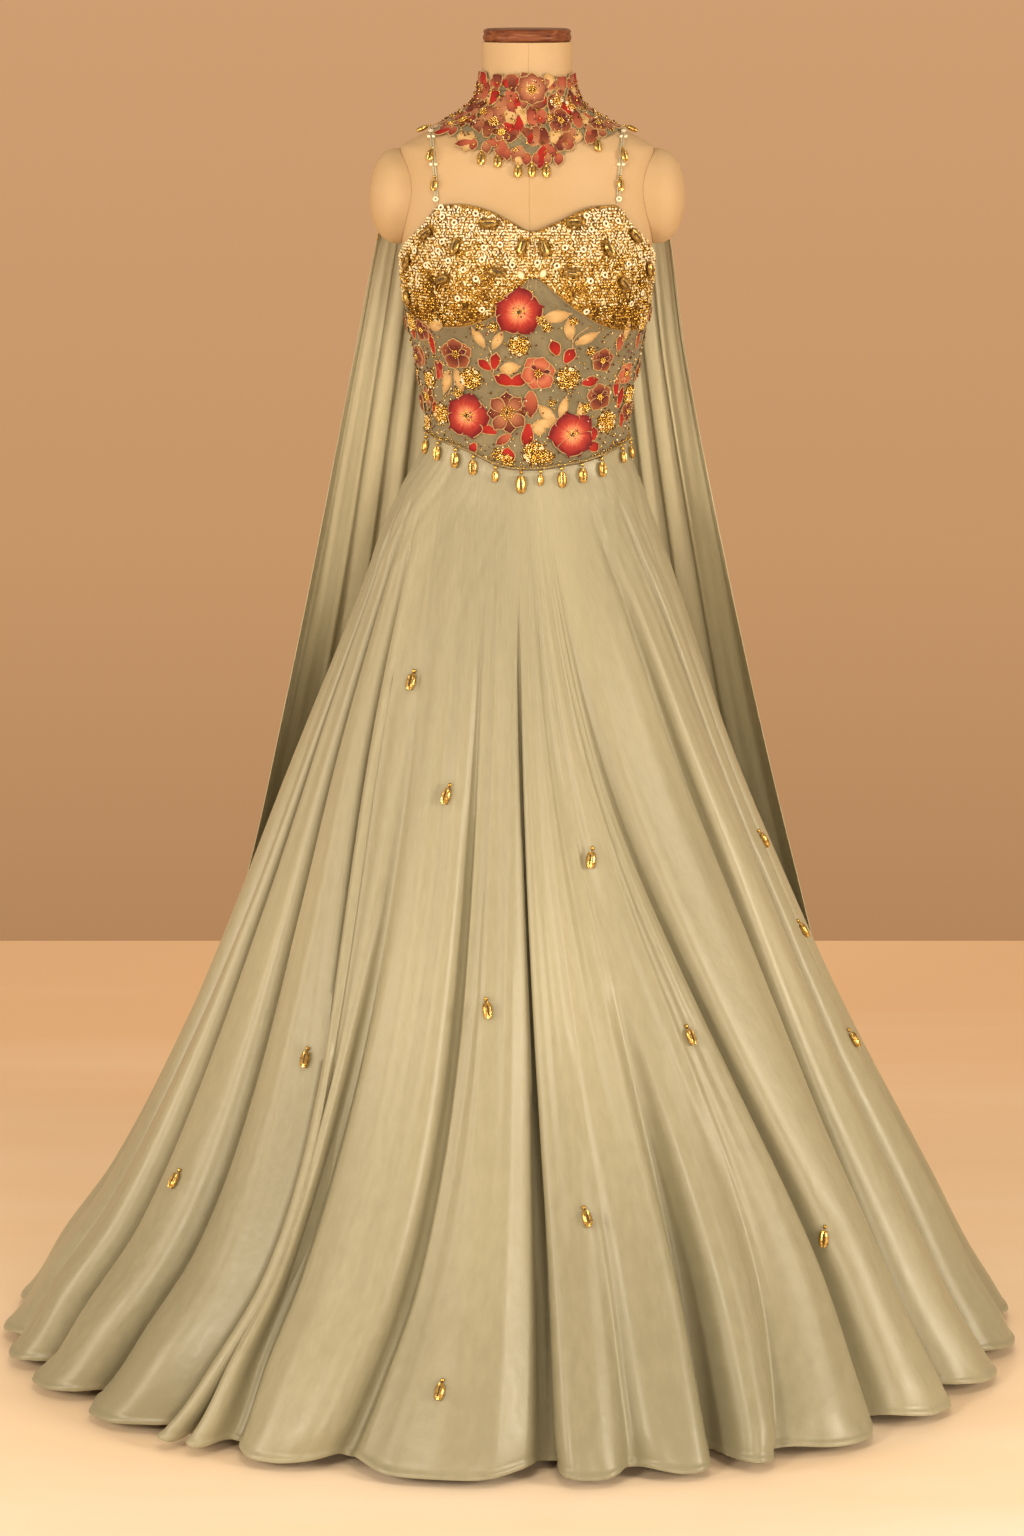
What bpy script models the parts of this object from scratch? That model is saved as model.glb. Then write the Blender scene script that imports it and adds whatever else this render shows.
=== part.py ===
"""A cape gown standing on a canvas dress form.

Metres, +Z up. The front faces -Y and the origin is on the floor under the form's axis. An azimuth is
measured round the form from the front: 0 is the front, 90 the side at +X and 180 the back.
"""

import math

import bpy
from mathutils import Matrix, Vector
from mathutils.bvhtree import BVHTree

# Clearances between pieces, and the thickness of each cloth
SEAM = 0.0003
REST_GAP = 0.0006
ARM_GAP = 0.0022
STRAP_GAP = 0.0012
SHELL_GAP = 0.0004
TRIM_GAP = 0.0009
BODICE_INNER = 0.0025
BODICE_OUTER = 0.0046
CUP_OUTER = 0.0054
COLLAR_INNER = 0.0019
COLLAR_OUTER = 0.0037
SKIRT_WALL = 0.0016
CAPE_WALL = 0.0014

# The form
NECK_TOP = 1.680
CAP_TOP = 1.697
CAP_RADIUS = 0.0556
FORM_FOOT = 0.930
POLE_RADIUS = 0.015
BASE_RADIUS = 0.190
BASE_HEIGHT = 0.022
ARM_CENTRE = (0.160, 0.0, 1.4885)
ARM_RADII = (0.0395, 0.056, 0.0600)

# Straps, drops and trim
STRAP_WIDTH = 0.005
STRAP_THICKNESS = 0.0015
STRAP_FRONT_X = 0.1125
STRAP_SHOULDER_X = 0.1190
STRAP_FRONT_FOOT = 1.4830
STRAP_BACK_RISE = 0.004
PIPING_RADIUS = 0.0017
SKIRT_BLEND = 0.035
SKIRT_HEM = 0.012
CAPE_TOP = 1.5535
CAPE_HEM = 0.020

# Sections of the form: height, half width, depth to the front and to the back, squareness of the oval
FORM = (
    (0.930, 0.150, 0.108, 0.112, 2.2),
    (1.000, 0.152, 0.106, 0.112, 2.2),
    (1.060, 0.146, 0.100, 0.106, 2.2),
    (1.120, 0.134, 0.096, 0.094, 2.2),
    (1.160, 0.1265, 0.0935, 0.085, 2.2),
    (1.195, 0.1245, 0.0930, 0.081, 2.2),
    (1.250, 0.1310, 0.0975, 0.084, 2.2),
    (1.310, 0.1430, 0.1030, 0.090, 2.3),
    (1.370, 0.1530, 0.1060, 0.096, 2.5),
    (1.420, 0.1575, 0.1040, 0.100, 2.7),
    (1.470, 0.1595, 0.0970, 0.099, 2.8),
    (1.520, 0.1590, 0.0860, 0.092, 2.8),
    (1.545, 0.1600, 0.0790, 0.083, 2.7),
    (1.5505, 0.1590, 0.0765, 0.080, 2.6),
    (1.5565, 0.1500, 0.0745, 0.0775, 2.5),
    (1.568, 0.1280, 0.0700, 0.073, 2.4),
    (1.580, 0.1005, 0.0660, 0.070, 2.2),
    (1.594, 0.0785, 0.0625, 0.067, 2.1),
    (1.608, 0.0635, 0.0595, 0.062, 2.0),
    (1.625, 0.0580, 0.0575, 0.058, 2.0),
    (1.655, 0.0565, 0.0565, 0.0565, 2.0),
    (1.680, 0.0568, 0.0568, 0.0568, 2.0),
)

# The two sides of the bust: azimuth, height, push, spread round, spread above and below
BUST = (
    (-32.0, 1.380, 0.026, 27.0, 0.074, 0.054),
    (32.0, 1.380, 0.026, 27.0, 0.074, 0.054),
)
BUST_SIDEWAYS = 0.30

# Edges of the bodice and the collar: azimuth, height
BODICE_TOP = (
    (-180, 1.352), (-125, 1.362), (-98, 1.388), (-80, 1.412), (-70, 1.4305), (-59, 1.456), (-51.5, 1.481),
    (-43, 1.4825), (-27, 1.476), (-12, 1.4625), (3.5, 1.450), (14, 1.457), (24, 1.465), (34, 1.4745),
    (43, 1.480), (52, 1.481), (59, 1.456), (70, 1.4305), (80, 1.412), (98, 1.388), (125, 1.362),
    (180, 1.352),
)
CUP_FOOT = (
    (-80, 1.362), (-76, 1.354), (-68, 1.339), (-59, 1.3335), (-50, 1.3325), (-40, 1.334), (-31, 1.3385),
    (-23, 1.345), (-15, 1.355), (-7, 1.371), (3.5, 1.3955), (10, 1.386), (17, 1.374), (25, 1.3605),
    (33, 1.3485), (41, 1.3385), (50, 1.330), (58, 1.326), (67, 1.3245), (80, 1.334),
)
BODICE_HEM = (
    (-180, 1.194), (-90, 1.192), (-66, 1.185), (-55, 1.1805), (-40, 1.172), (-30, 1.163), (-20, 1.156),
    (-9, 1.1525), (4, 1.152), (15, 1.1535), (24, 1.156), (38, 1.160), (52, 1.166), (63, 1.173),
    (87, 1.181), (180, 1.194),
)
COLLAR_TOP = (
    (-180, 1.634), (-100, 1.635), (-75, 1.637), (-27, 1.6345), (-10, 1.636), (5, 1.6405), (21, 1.636),
    (42, 1.631), (73, 1.6345), (100, 1.635), (180, 1.634),
)
COLLAR_FOOT = (
    (-180, 1.5540), (-140, 1.5560), (-120, 1.5630), (-105, 1.5735), (-90, 1.5765), (-79, 1.5735),
    (-72, 1.5700), (-60, 1.5658), (-48, 1.5577), (-41, 1.5506), (-34, 1.5490), (-26, 1.5472),
    (-18, 1.5423), (-9, 1.5351), (5, 1.5360), (25, 1.5351), (31, 1.5455), (36, 1.5550), (40, 1.5590),
    (49, 1.5635), (58, 1.5634), (70, 1.5690), (80, 1.5735), (90, 1.5765), (105, 1.5735), (120, 1.5630),
    (140, 1.5560), (180, 1.5540),
)

# The skirt's outline without its folds: height, reach to the left, right, front and back
SKIRT = (
    (1.200, 0.1285, 0.1280, 0.0985, 0.0860),
    (1.165, 0.1365, 0.1310, 0.1000, 0.0920),
    (1.120, 0.1610, 0.1480, 0.1100, 0.1080),
    (1.060, 0.1870, 0.1690, 0.1330, 0.1310),
    (1.000, 0.2080, 0.1910, 0.1600, 0.1560),
    (0.800, 0.2855, 0.2560, 0.2430, 0.2430),
    (0.600, 0.3650, 0.3390, 0.3250, 0.3300),
    (0.400, 0.4540, 0.4320, 0.4100, 0.4200),
    (0.200, 0.5600, 0.5380, 0.5180, 0.5300),
    (0.100, 0.6330, 0.5900, 0.5780, 0.5900),
    (0.040, 0.6680, 0.6280, 0.6120, 0.6300),
    (0.012, 0.6900, 0.6450, 0.6260, 0.6450),
)

# The skirt's valleys, clockwise from the left side: azimuth at four heights, where the valley starts,
# its depth at the hem, how narrow it is, and how far its floor leans under the next fold
VALLEY_HEIGHTS = (1.15, 0.85, 0.50, 0.01)
VALLEYS = (
    (-96.0, -94.0, -93.0, -92.0, 1.05, 0.040, 1.6, 0.8),
    (-82.0, -80.0, -80.0, -80.5, 0.85, 0.030, 1.4, 0.8),
    (-70.0, -73.0, -70.5, -70.5, 1.10, 0.055, 2.0, 1.6),
    (-61.0, -61.5, -55.0, -58.0, 1.12, 0.058, 2.0, 1.6),
    (-53.0, -48.0, -37.6, -42.0, 1.10, 0.060, 1.8, 1.6),
    (-48.0, -42.0, -34.3, -38.4, 0.48, 0.034, 1.0, 0.5),
    (-43.0, -32.5, -30.5, -34.0, 0.95, 0.036, 1.4, 0.8),
    (-17.0, -14.0, -13.0, -21.5, 1.02, 0.044, 2.2, 1.4),
    (-4.0, -2.0, 0.5, 2.2, 1.02, 0.060, 3.2, 0.0),
    (-1.0, 3.5, 8.5, 12.4, 0.50, 0.026, 1.3, -0.7),
    (2.5, 8.5, 18.0, 22.8, 0.55, 0.064, 1.8, -1.6),
    (5.5, 13.5, 27.0, 29.5, 0.45, 0.026, 1.2, -0.6),
    (9.0, 19.5, 36.5, 46.4, 1.06, 0.050, 2.0, -1.6),
    (26.0, 50.0, 58.5, 60.3, 1.13, 0.056, 2.0, -1.6),
    (47.0, 66.0, 73.0, 74.0, 1.13, 0.048, 1.8, -1.4),
    (60.0, 79.0, 86.0, 87.5, 1.12, 0.036, 1.5, -0.8),
    (86.0, 97.0, 100.0, 101.0, 0.90, 0.038, 1.6, -0.6),
    (104.0, 112.0, 114.0, 115.0, 1.08, 0.048, 1.8, 0.0),
    (121.0, 126.0, 128.0, 128.0, 0.70, 0.038, 1.5, 0.0),
    (137.0, 140.0, 141.0, 142.0, 1.10, 0.052, 1.9, 0.0),
    (152.0, 154.0, 155.0, 156.0, 0.80, 0.040, 1.6, 0.0),
    (166.0, 167.0, 168.0, 168.5, 1.05, 0.050, 1.8, 0.0),
    (180.0, 180.0, 180.0, 180.0, 1.00, 0.046, 1.7, 0.0),
    (194.0, 193.5, 193.0, 193.0, 1.08, 0.052, 1.8, 0.0),
    (208.0, 207.0, 206.5, 206.5, 0.75, 0.038, 1.5, 0.0),
    (222.0, 221.0, 220.0, 220.0, 1.10, 0.050, 1.8, 0.0),
    (236.0, 235.0, 234.0, 234.0, 0.85, 0.040, 1.6, 0.0),
    (250.0, 250.5, 250.5, 251.5, 1.06, 0.046, 1.7, 0.0),
)
LEFT_SEAM, RIGHT_SEAM, RIGHT_SIDE, CENTRE_BACK = 6, 13, 17, 22
NARROW_FLUTE = 5.0

# The cape's outline without its folds: height, reach of the left and the right edge, how far back
# those edges are, and how far back the middle is
CAPE = (
    (1.553, 0.1130, 0.1130, 0.0666, 0.0818),
    (1.545, 0.1270, 0.1270, 0.0736, 0.0920),
    (1.530, 0.1480, 0.1480, 0.0770, 0.1000),
    (1.490, 0.1740, 0.1720, 0.0790, 0.1070),
    (1.430, 0.1920, 0.1840, 0.0860, 0.1130),
    (1.300, 0.2180, 0.2020, 0.0950, 0.1200),
    (1.190, 0.2400, 0.2220, 0.1000, 0.1360),
    (1.000, 0.2780, 0.2620, 0.1050, 0.1920),
    (0.800, 0.3220, 0.3070, 0.1100, 0.2820),
    (0.600, 0.3680, 0.3560, 0.1250, 0.3660),
    (0.400, 0.4320, 0.4120, 0.1700, 0.4560),
    (0.200, 0.5350, 0.5120, 0.2250, 0.5650),
    (0.020, 0.6500, 0.6150, 0.2750, 0.6780),
)
# The cape's valleys on each side, from its free edge to the back seam: place, depth at the hem
CAPE_VALLEYS = (
    (0.000, 0.000), (0.300, 0.018), (0.430, 0.020), (0.530, 0.021), (0.630, 0.017), (0.730, 0.021),
    (0.830, 0.017), (0.920, 0.016), (1.000, 0.004),
)

# Thick flowers on the bodice: azimuth, height, radius, number of petals, turn, the cloth's outer offset
FLOWERS = (
    (-5.0, 1.3530, 0.0275, 5, 0.3, CUP_OUTER),
    (-43.0, 1.2200, 0.0225, 5, 0.0, BODICE_OUTER),
    (32.0, 1.1950, 0.0250, 5, 0.8, BODICE_OUTER),
    (-43.5, 1.2985, 0.0190, 6, 0.2, BODICE_OUTER),
    (7.5, 1.2750, 0.0210, 6, 0.5, BODICE_OUTER),
    (-13.0, 1.2240, 0.0210, 8, 0.1, BODICE_OUTER),
)
FLOWER_THICKNESS = 0.0024
FLOWER_GAP = 0.0008

# Shells sewn on the skirt: azimuth, height
SKIRT_SHELLS = (
    (-41.0, 0.903), (-22.6, 0.773), (-8.4, 0.528), (-44.0, 0.449), (16.2, 0.700), (31.7, 0.488),
    (7.9, 0.295), (-61.5, 0.283), (48.6, 0.231), (-10.3, 0.112), (77.0, 0.679), (80.5, 0.560),
    (79.0, 0.420),
)
# Shells hanging from the collar's front edge, and from the bodice's hem: azimuths
COLLAR_SHELLS = (-37.0, -25.0, -8.0, 4.0, 16.0, 54.0)
HEM_SHELLS = (-76.0, -63.0, -50.0, -38.0, -23.0, -4.5, 10.0, 25.0, 39.0, 52.0, 69.0, 82.0)
# Shells on each strap: height
STRAP_SHELLS = (1.515, 1.549)

# The drop's outline: distance down, half width
DROP_OUTLINE = (
    (0.0000, 0.0000), (0.0022, 0.0025), (0.0052, 0.0014), (0.0095, 0.0052), (0.0185, 0.0058),
    (0.0262, 0.0000),
)
DROP_FLATNESS = 0.55
DROP_SIDES = 6

CANVAS = ("canvas", (0.78, 0.64, 0.47), 0.85, 0.0)
SATIN = ("sage satin", (0.46, 0.44, 0.30), 0.45, 0.0)
BEADED = ("gold beading", (0.62, 0.42, 0.12), 0.40, 0.6)
EMBROIDERY = ("embroidered sage", (0.42, 0.36, 0.22), 0.70, 0.0)
PETAL = ("coral petals", (0.62, 0.12, 0.10), 0.70, 0.0)
GOLD = ("gold shell", (0.70, 0.47, 0.15), 0.30, 0.9)
WALNUT = ("turned walnut", (0.16, 0.05, 0.02), 0.25, 0.0)
STEEL = ("painted steel", (0.09, 0.08, 0.07), 0.45, 0.3)

skins = {}
materials = {}


def clear_scene():
    """Removes what is in the scene."""
    for old in list(bpy.data.objects):
        bpy.data.objects.remove(old, do_unlink=True)


def material(finish):
    """The Principled material of a finish: name, colour, roughness, metallic."""
    name, colour, roughness, metallic = finish
    if name not in materials:
        made = bpy.data.materials.new(name)
        made.use_nodes = True
        shader = made.node_tree.nodes["Principled BSDF"]
        shader.inputs["Base Color"].default_value = (*colour, 1.0)
        shader.inputs["Roughness"].default_value = roughness
        shader.inputs["Metallic"].default_value = metallic
        materials[name] = made
    return materials[name]


def smoothstep(value):
    """0 below 0, 1 above 1 and a soft step between."""
    value = min(max(value, 0.0), 1.0)
    return value * value * (3.0 - 2.0 * value)


def lerp(start, end, part):
    """The value a given part of the way from start to end."""
    return start + (end - start) * part


class Curve:
    """A smooth curve through a table's points, which never swings past them."""

    def __init__(self, places, values):
        self.places = list(places)
        self.values = list(values)
        steps = [b - a for a, b in zip(self.places, self.places[1:])]
        slopes = [(b - a) / step for a, b, step in zip(self.values, self.values[1:], steps)]
        self.tangents = [slopes[0]]
        for before, after in zip(slopes, slopes[1:]):
            level = before * after <= 0.0
            self.tangents.append(0.0 if level else 2.0 * before * after / (before + after))
        self.tangents.append(slopes[-1])

    def __call__(self, place):
        place = min(max(place, self.places[0]), self.places[-1])
        index = 0
        while index < len(self.places) - 2 and place > self.places[index + 1]:
            index += 1
        width = self.places[index + 1] - self.places[index]
        t = (place - self.places[index]) / width
        start, end = self.values[index], self.values[index + 1]
        out, into = self.tangents[index] * width, self.tangents[index + 1] * width
        bend = (2 * t**3 - 3 * t**2 + 1) * start + (3 * t**2 - 2 * t**3) * end
        return bend + (t**3 - 2 * t**2 + t) * out + (t**3 - t**2) * into


def columns(table):
    """A curve over the first column for each of a table's other columns."""
    rows = sorted(table)
    places = [row[0] for row in rows]
    return [Curve(places, [row[k] for row in rows]) for k in range(1, len(rows[0]))]


form_curves = columns(FORM)
skirt_curves = columns(SKIRT)
cape_curves = columns(CAPE)
bodice_top = columns(BODICE_TOP)[0]
cup_foot = columns(CUP_FOOT)[0]
bodice_hem = columns(BODICE_HEM)[0]
collar_top = columns(COLLAR_TOP)[0]
collar_foot = columns(COLLAR_FOOT)[0]


def wrapped(azimuth):
    """The azimuth in degrees between -180 and 180."""
    return (azimuth + 180.0) % 360.0 - 180.0


def oval(azimuth, half_width, depth, square):
    """A squared oval's reach from its middle at an azimuth."""
    turn = math.radians(azimuth)
    across = abs(math.sin(turn) / half_width) ** square
    forward = abs(math.cos(turn) / depth) ** square
    return (across + forward) ** (-1.0 / square)


def form_point(azimuth, z):
    """A point on the canvas form."""
    half_width, front, back, square = (curve(z) for curve in form_curves)
    azimuth = wrapped(azimuth)
    turn = math.radians(azimuth)
    reach = oval(azimuth, half_width, front if abs(azimuth) < 90.0 else back, square)
    x, y = reach * math.sin(turn), -reach * math.cos(turn)
    for middle, height, push, spread, above, below in BUST:
        round_it = wrapped(azimuth - middle) / spread
        up = (z - height) / (above if z > height else below)
        swell = push * math.exp(-round_it * round_it - up * up)
        x += math.copysign(BUST_SIDEWAYS * swell, middle)
        y -= swell
    return Vector((x, y, z))


def normal_of(surface, across, along, step_across=0.4, step_along=0.0015):
    """The outward normal of a surface that runs leftwards round the body and upwards."""
    side = surface(across + step_across, along) - surface(across - step_across, along)
    rise = surface(across, along + step_along) - surface(across, along - step_along)
    normal = side.cross(rise)
    return normal.normalized()


def form_layer(azimuth, z, offset):
    """A point that lies a little way off the form."""
    return form_point(azimuth, z) + normal_of(form_point, azimuth, z) * offset


def add_object(name, points, faces, finish, sharp=40.0):
    """A named object with smooth faces, and edges kept sharp past an angle."""
    mesh = bpy.data.meshes.new(name)
    mesh.from_pydata([tuple(point) for point in points], [], faces)
    mesh.materials.append(material(finish))
    mesh.shade_smooth()
    mesh.set_sharp_from_angle(angle=math.radians(sharp))
    made = bpy.data.objects.new(name, mesh)
    bpy.context.scene.collection.objects.link(made)
    return made


def keep_skin(made):
    """Keeps a piece's triangles, so that what lies on it can be set down on them."""
    made.data.calc_loop_triangles()
    points = [vertex.co for vertex in made.data.vertices]
    skins[made.name] = BVHTree.FromPolygons(points, [tuple(t.vertices) for t in made.data.loop_triangles])


def wall(name, outer, inner, finish):
    """A cloth wall from two grids of points, rows from the top down and columns from left to right."""
    rows, across = len(outer), len(outer[0])
    points = [point for row in outer for point in row] + [point for row in inner for point in row]
    inside = rows * across
    faces = []
    for r in range(rows - 1):
        for c in range(across - 1):
            a, b = r * across + c, r * across + c + 1
            d, e = a + across, b + across
            faces.append((a, d, e, b))
            faces.append((inside + a, inside + b, inside + e, inside + d))
    for c in range(across - 1):
        low = (rows - 1) * across + c
        faces.append((c, c + 1, inside + c + 1, inside + c))
        faces.append((low + 1, low, inside + low, inside + low + 1))
    for r in range(rows - 1):
        left, right = r * across, r * across + across - 1
        faces.append((left + across, left, inside + left, inside + left + across))
        faces.append((right, right + across, inside + right + across, inside + right))
    made = add_object(name, points, faces, finish)
    keep_skin(made)
    return made


def rings(name, loops, finish, top=None, bottom=None, sharp=40.0):
    """A closed solid through loops of points from the top down, closed by a point or a flat face."""
    sides = len(loops[0])
    points = [point for loop in loops for point in loop]
    faces = []
    for r in range(len(loops) - 1):
        for c in range(sides):
            a, b = r * sides + c, r * sides + (c + 1) % sides
            faces.append((a, a + sides, b + sides, b))
    last = (len(loops) - 1) * sides
    if top is None:
        faces.append(tuple(range(sides)))
    else:
        points.append(top)
        faces.extend((len(points) - 1, c, (c + 1) % sides) for c in range(sides))
    if bottom is None:
        faces.append(tuple(last + c for c in reversed(range(sides))))
    else:
        points.append(bottom)
        faces.extend((len(points) - 1, last + (c + 1) % sides, last + c) for c in range(sides))
    return add_object(name, points, faces, finish, sharp)


def turned(name, profile, sides, finish):
    """A solid of revolution about Z: radius, height from the top down."""
    loops = []
    for radius, z in profile:
        turns = [2.0 * math.pi * side / sides for side in range(sides)]
        loops.append([Vector((radius * math.cos(a), radius * math.sin(a), z)) for a in turns])
    return rings(name, loops, finish)


def spread(start, end, count):
    """Evenly spaced values from start to end, both included."""
    return [lerp(start, end, index / (count - 1)) for index in range(count)]


def build_torso():
    """The canvas torso, from the neck down to the flat foot under the hips."""
    heights = [1.680, 1.635, 1.617, 1.604, 1.593, 1.582, 1.571, 1.560, 1.547, 1.525]
    heights += spread(1.500, 1.140, 15) + [1.070, FORM_FOOT]
    turns = spread(-80.0, 80.0, 21) + spread(90.0, 135.0, 6) + spread(150.0, 210.0, 4) + spread(225.0, 270.0, 6)
    loops = [[form_point(turn, z) for turn in turns] for z in heights]
    keep_skin(rings("form_torso", loops, CANVAS))


def build_arm_cap(name, side):
    """The rounded cap over an armhole: a shallow dome whose inner face follows the torso."""
    middle = Vector((side * ARM_CENTRE[0], ARM_CENTRE[1], ARM_CENTRE[2]))
    turns = spread(0.0, 2.0 * math.pi * 17 / 18, 18)
    loops = []
    for rise in (8.0, 30.0, 52.0, 72.0):
        size = math.cos(math.radians(rise))
        out = ARM_RADII[0] * math.sin(math.radians(rise)) ** 0.8
        loops.append([middle + Vector((side * out, ARM_RADII[1] * size * math.cos(a) * side,
                                       ARM_RADII[2] * size * math.sin(a))) for a in turns])

    def on_torso(point):
        start = Vector((side * 0.3, point.y, point.z))
        hit, _, _, _ = skins["form_torso"].ray_cast(start, Vector((-side, 0.0, 0.0)))
        return hit + Vector((side * ARM_GAP, 0.0, 0.0))

    inside = [[on_torso(middle.lerp(point, part)) for point in loops[0]] for part in (0.4, 0.7, 0.88, 1.0)]
    peak = middle + Vector((side * ARM_RADII[0], 0.0, 0.0))
    rings(name, list(reversed(inside + loops)), CANVAS, top=peak, bottom=on_torso(middle))


def build_stand():
    """The turned neck cap, the pole and the round base."""
    edge = 0.004
    neck_cap = ((CAP_RADIUS - edge, CAP_TOP), (CAP_RADIUS - 0.001, CAP_TOP - 0.0015),
                (CAP_RADIUS, CAP_TOP - edge), (CAP_RADIUS, NECK_TOP + edge),
                (CAP_RADIUS - 0.002, NECK_TOP + SEAM))
    turned("form_neck_cap", neck_cap, 28, WALNUT)
    turned("stand_pole", ((POLE_RADIUS, FORM_FOOT - SEAM), (POLE_RADIUS, BASE_HEIGHT + SEAM)), 16, STEEL)
    base = ((BASE_RADIUS * 0.2, BASE_HEIGHT), (BASE_RADIUS * 0.9, BASE_HEIGHT - 0.006),
            (BASE_RADIUS, BASE_HEIGHT - 0.013), (BASE_RADIUS, 0.0))
    turned("stand_base", base, 32, STEEL)


def panel(name, turns, top, foot, rows, outer, finish):
    """A piece of the bodice or the collar: columns at some azimuths, between two edges."""
    inner = COLLAR_INNER if name.startswith("collar") else BODICE_INNER
    skins_of = {}
    for offset in (outer, inner):
        grid = []
        for row in range(rows):
            part = row / (rows - 1)
            grid.append([form_layer(a, lerp(top(wrapped(a)), foot(wrapped(a)), part), offset)
                         for a in turns])
        skins_of[offset] = grid
    wall(name, skins_of[outer], skins_of[inner], finish)


def build_bodice():
    """Two cups, the front panel under them, two sides and two back pieces."""
    centre, side, back = 1.5, 78.0, 118.0
    split = 0.06
    gap = SEAM * 1.4

    def above_foot(azimuth):
        return cup_foot(azimuth) + gap / 2

    def below_foot(azimuth):
        return cup_foot(azimuth) - gap / 2

    left = spread(-side + split, centre - split, 12)
    right = spread(centre + split, side - split, 12)
    panel("bodice_cup_left", left, bodice_top, above_foot, 8, CUP_OUTER, BEADED)
    panel("bodice_cup_right", right, bodice_top, above_foot, 8, CUP_OUTER, BEADED)
    front = left[:-1] + [centre] + right[1:]
    panel("bodice_front", front, below_foot, bodice_hem, 9, BODICE_OUTER, EMBROIDERY)
    for label, sign in (("left", -1), ("right", 1)):
        edges = sorted((sign * (side + split), sign * (back - split)))
        panel(f"bodice_side_{label}", spread(*edges, 5), bodice_top, bodice_hem, 8, BODICE_OUTER, EMBROIDERY)
        edges = sorted((sign * (back + split), sign * (180.0 - split)))
        panel(f"bodice_back_{label}", spread(*edges, 6), bodice_top, bodice_hem, 8, BODICE_OUTER, SATIN)


def build_collar():
    """The embroidered front of the collar and its plain back."""
    split = 0.15
    front = spread(-100.0 + split, 100.0 - split, 31)
    back = spread(100.0 + split, 140.0, 6) + spread(153.0, 207.0, 5) + spread(220.0, 260.0 - split, 6)
    panel("collar_front", front, collar_top, collar_foot, 6, COLLAR_OUTER, EMBROIDERY)
    panel("collar_back", back, collar_top, collar_foot, 6, COLLAR_OUTER, SATIN)


def cubic_through(places, values, place):
    """The cubic through four points, read at a place."""
    total = 0.0
    for i, value in enumerate(values):
        weight = 1.0
        for j, other in enumerate(places):
            if j != i:
                weight *= (place - other) / (places[i] - other)
        total += value * weight
    return total


def valley(index):
    """A row of the skirt's valleys, counted on past the last one, with the whole turns it has made."""
    return VALLEYS[index % len(VALLEYS)], 360.0 * (index // len(VALLEYS))


def valley_azimuth(index, z):
    """Where a valley is at a height."""
    row, turns = valley(index)
    return cubic_through(VALLEY_HEIGHTS, row[:4], min(z, 1.17)) + turns


def hollow(part, narrow):
    """The shape of a valley's side: 1 at its floor, 0 half way to the next one."""
    if part >= 0.5:
        return 0.0
    return math.cos(math.pi * part) ** (2.0 * narrow)


def true_azimuth(point):
    """The azimuth of a point round the form's axis."""
    return math.degrees(math.atan2(point.x, -point.y))


def skirt_outline(azimuth, z):
    """The skirt without its folds. Its own azimuth runs evenly along the oval."""
    left, right, front, back = (curve(z) for curve in skirt_curves)
    turn = math.radians(azimuth)
    side = right if math.sin(turn) > 0.0 else left
    depth = front if math.cos(turn) > 0.0 else back
    return Vector((side * math.sin(turn), -depth * math.cos(turn), z))


def skirt_point(flute, down):
    """A point of the skirt: valleys are at whole numbers of flute, and down runs from 0 to 1."""
    index = math.floor(flute)
    part = flute - index
    azimuth = lerp(valley_azimuth(index, 1.17), valley_azimuth(index + 1, 1.17), part)
    top = bodice_hem(true_azimuth(skirt_outline(azimuth, 1.17))) - REST_GAP
    z = lerp(top, SKIRT_HEM, down)
    azimuth = lerp(valley_azimuth(index, z), valley_azimuth(index + 1, z), part)
    depth = 0.0
    lift = 0.0
    for number, away in ((index, part), (index + 1, 1.0 - part)):
        row = valley(number)[0]
        start, deep, narrow, lean = row[4:]
        grown = min(max((start - z) / (start - SKIRT_HEM), 0.0), 1.0) ** 1.15
        shape = hollow(away, narrow) * grown
        depth += deep * shape
        azimuth += lean * shape
        lift += 0.006 * shape
    point = skirt_outline(azimuth, z)
    around = true_azimuth(point)
    reach = math.hypot(point.x, point.y)
    point.x *= 1.0 - depth / reach
    point.y *= 1.0 - depth / reach
    onto_body = smoothstep(1.0 - (top - z) / SKIRT_BLEND)
    if onto_body > 0.0:
        point = point.lerp(form_layer(around, z, BODICE_OUTER), onto_body)
    point.z += lift * down
    return point


def skirt_grid(first, last, rows):
    """Outer and inner points of a gore between two valleys, 0.3 mm short of its neighbours."""
    flutes = []
    for index in range(first, last):
        width = valley_azimuth(index + 1, 0.01) - valley_azimuth(index, 0.01)
        parts = (0.0, 0.33, 0.67) if width < NARROW_FLUTE else (0.0, 0.15, 0.35, 0.65, 0.85)
        flutes.extend(index + part for part in parts)
    flutes.append(last)
    outer, inner = [], []
    for down in rows:
        row = []
        for flute in flutes:
            normal = normal_of(lambda u, v: skirt_point(u, 1.0 - v), flute, 1.0 - down, 0.01, 0.001)
            row.append((skirt_point(flute, down), normal))
        for place, neighbour in ((0, 1), (-1, -2)):
            point, normal = row[place]
            inward = (row[neighbour][0] - point).normalized()
            row[place] = (point + inward * SEAM / 2, normal)
        outer.append([point for point, normal in row])
        inner.append([point - normal * SKIRT_WALL for point, normal in row])
    return outer, inner


def build_skirt():
    """Five gores, sewn together down valleys."""
    rows = (0.0, 0.03, 0.09, 0.19, 0.34, 0.52, 0.72, 0.90, 1.0)
    count = len(VALLEYS)
    gores = (
        ("skirt_front", LEFT_SEAM, RIGHT_SEAM),
        ("skirt_side_right", RIGHT_SEAM, RIGHT_SIDE),
        ("skirt_back_right", RIGHT_SIDE, CENTRE_BACK),
        ("skirt_back_left", CENTRE_BACK, count),
        ("skirt_side_left", count, count + LEFT_SEAM),
    )
    for name, first, last in gores:
        wall(name, *skirt_grid(first, last, rows), SATIN)


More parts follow.
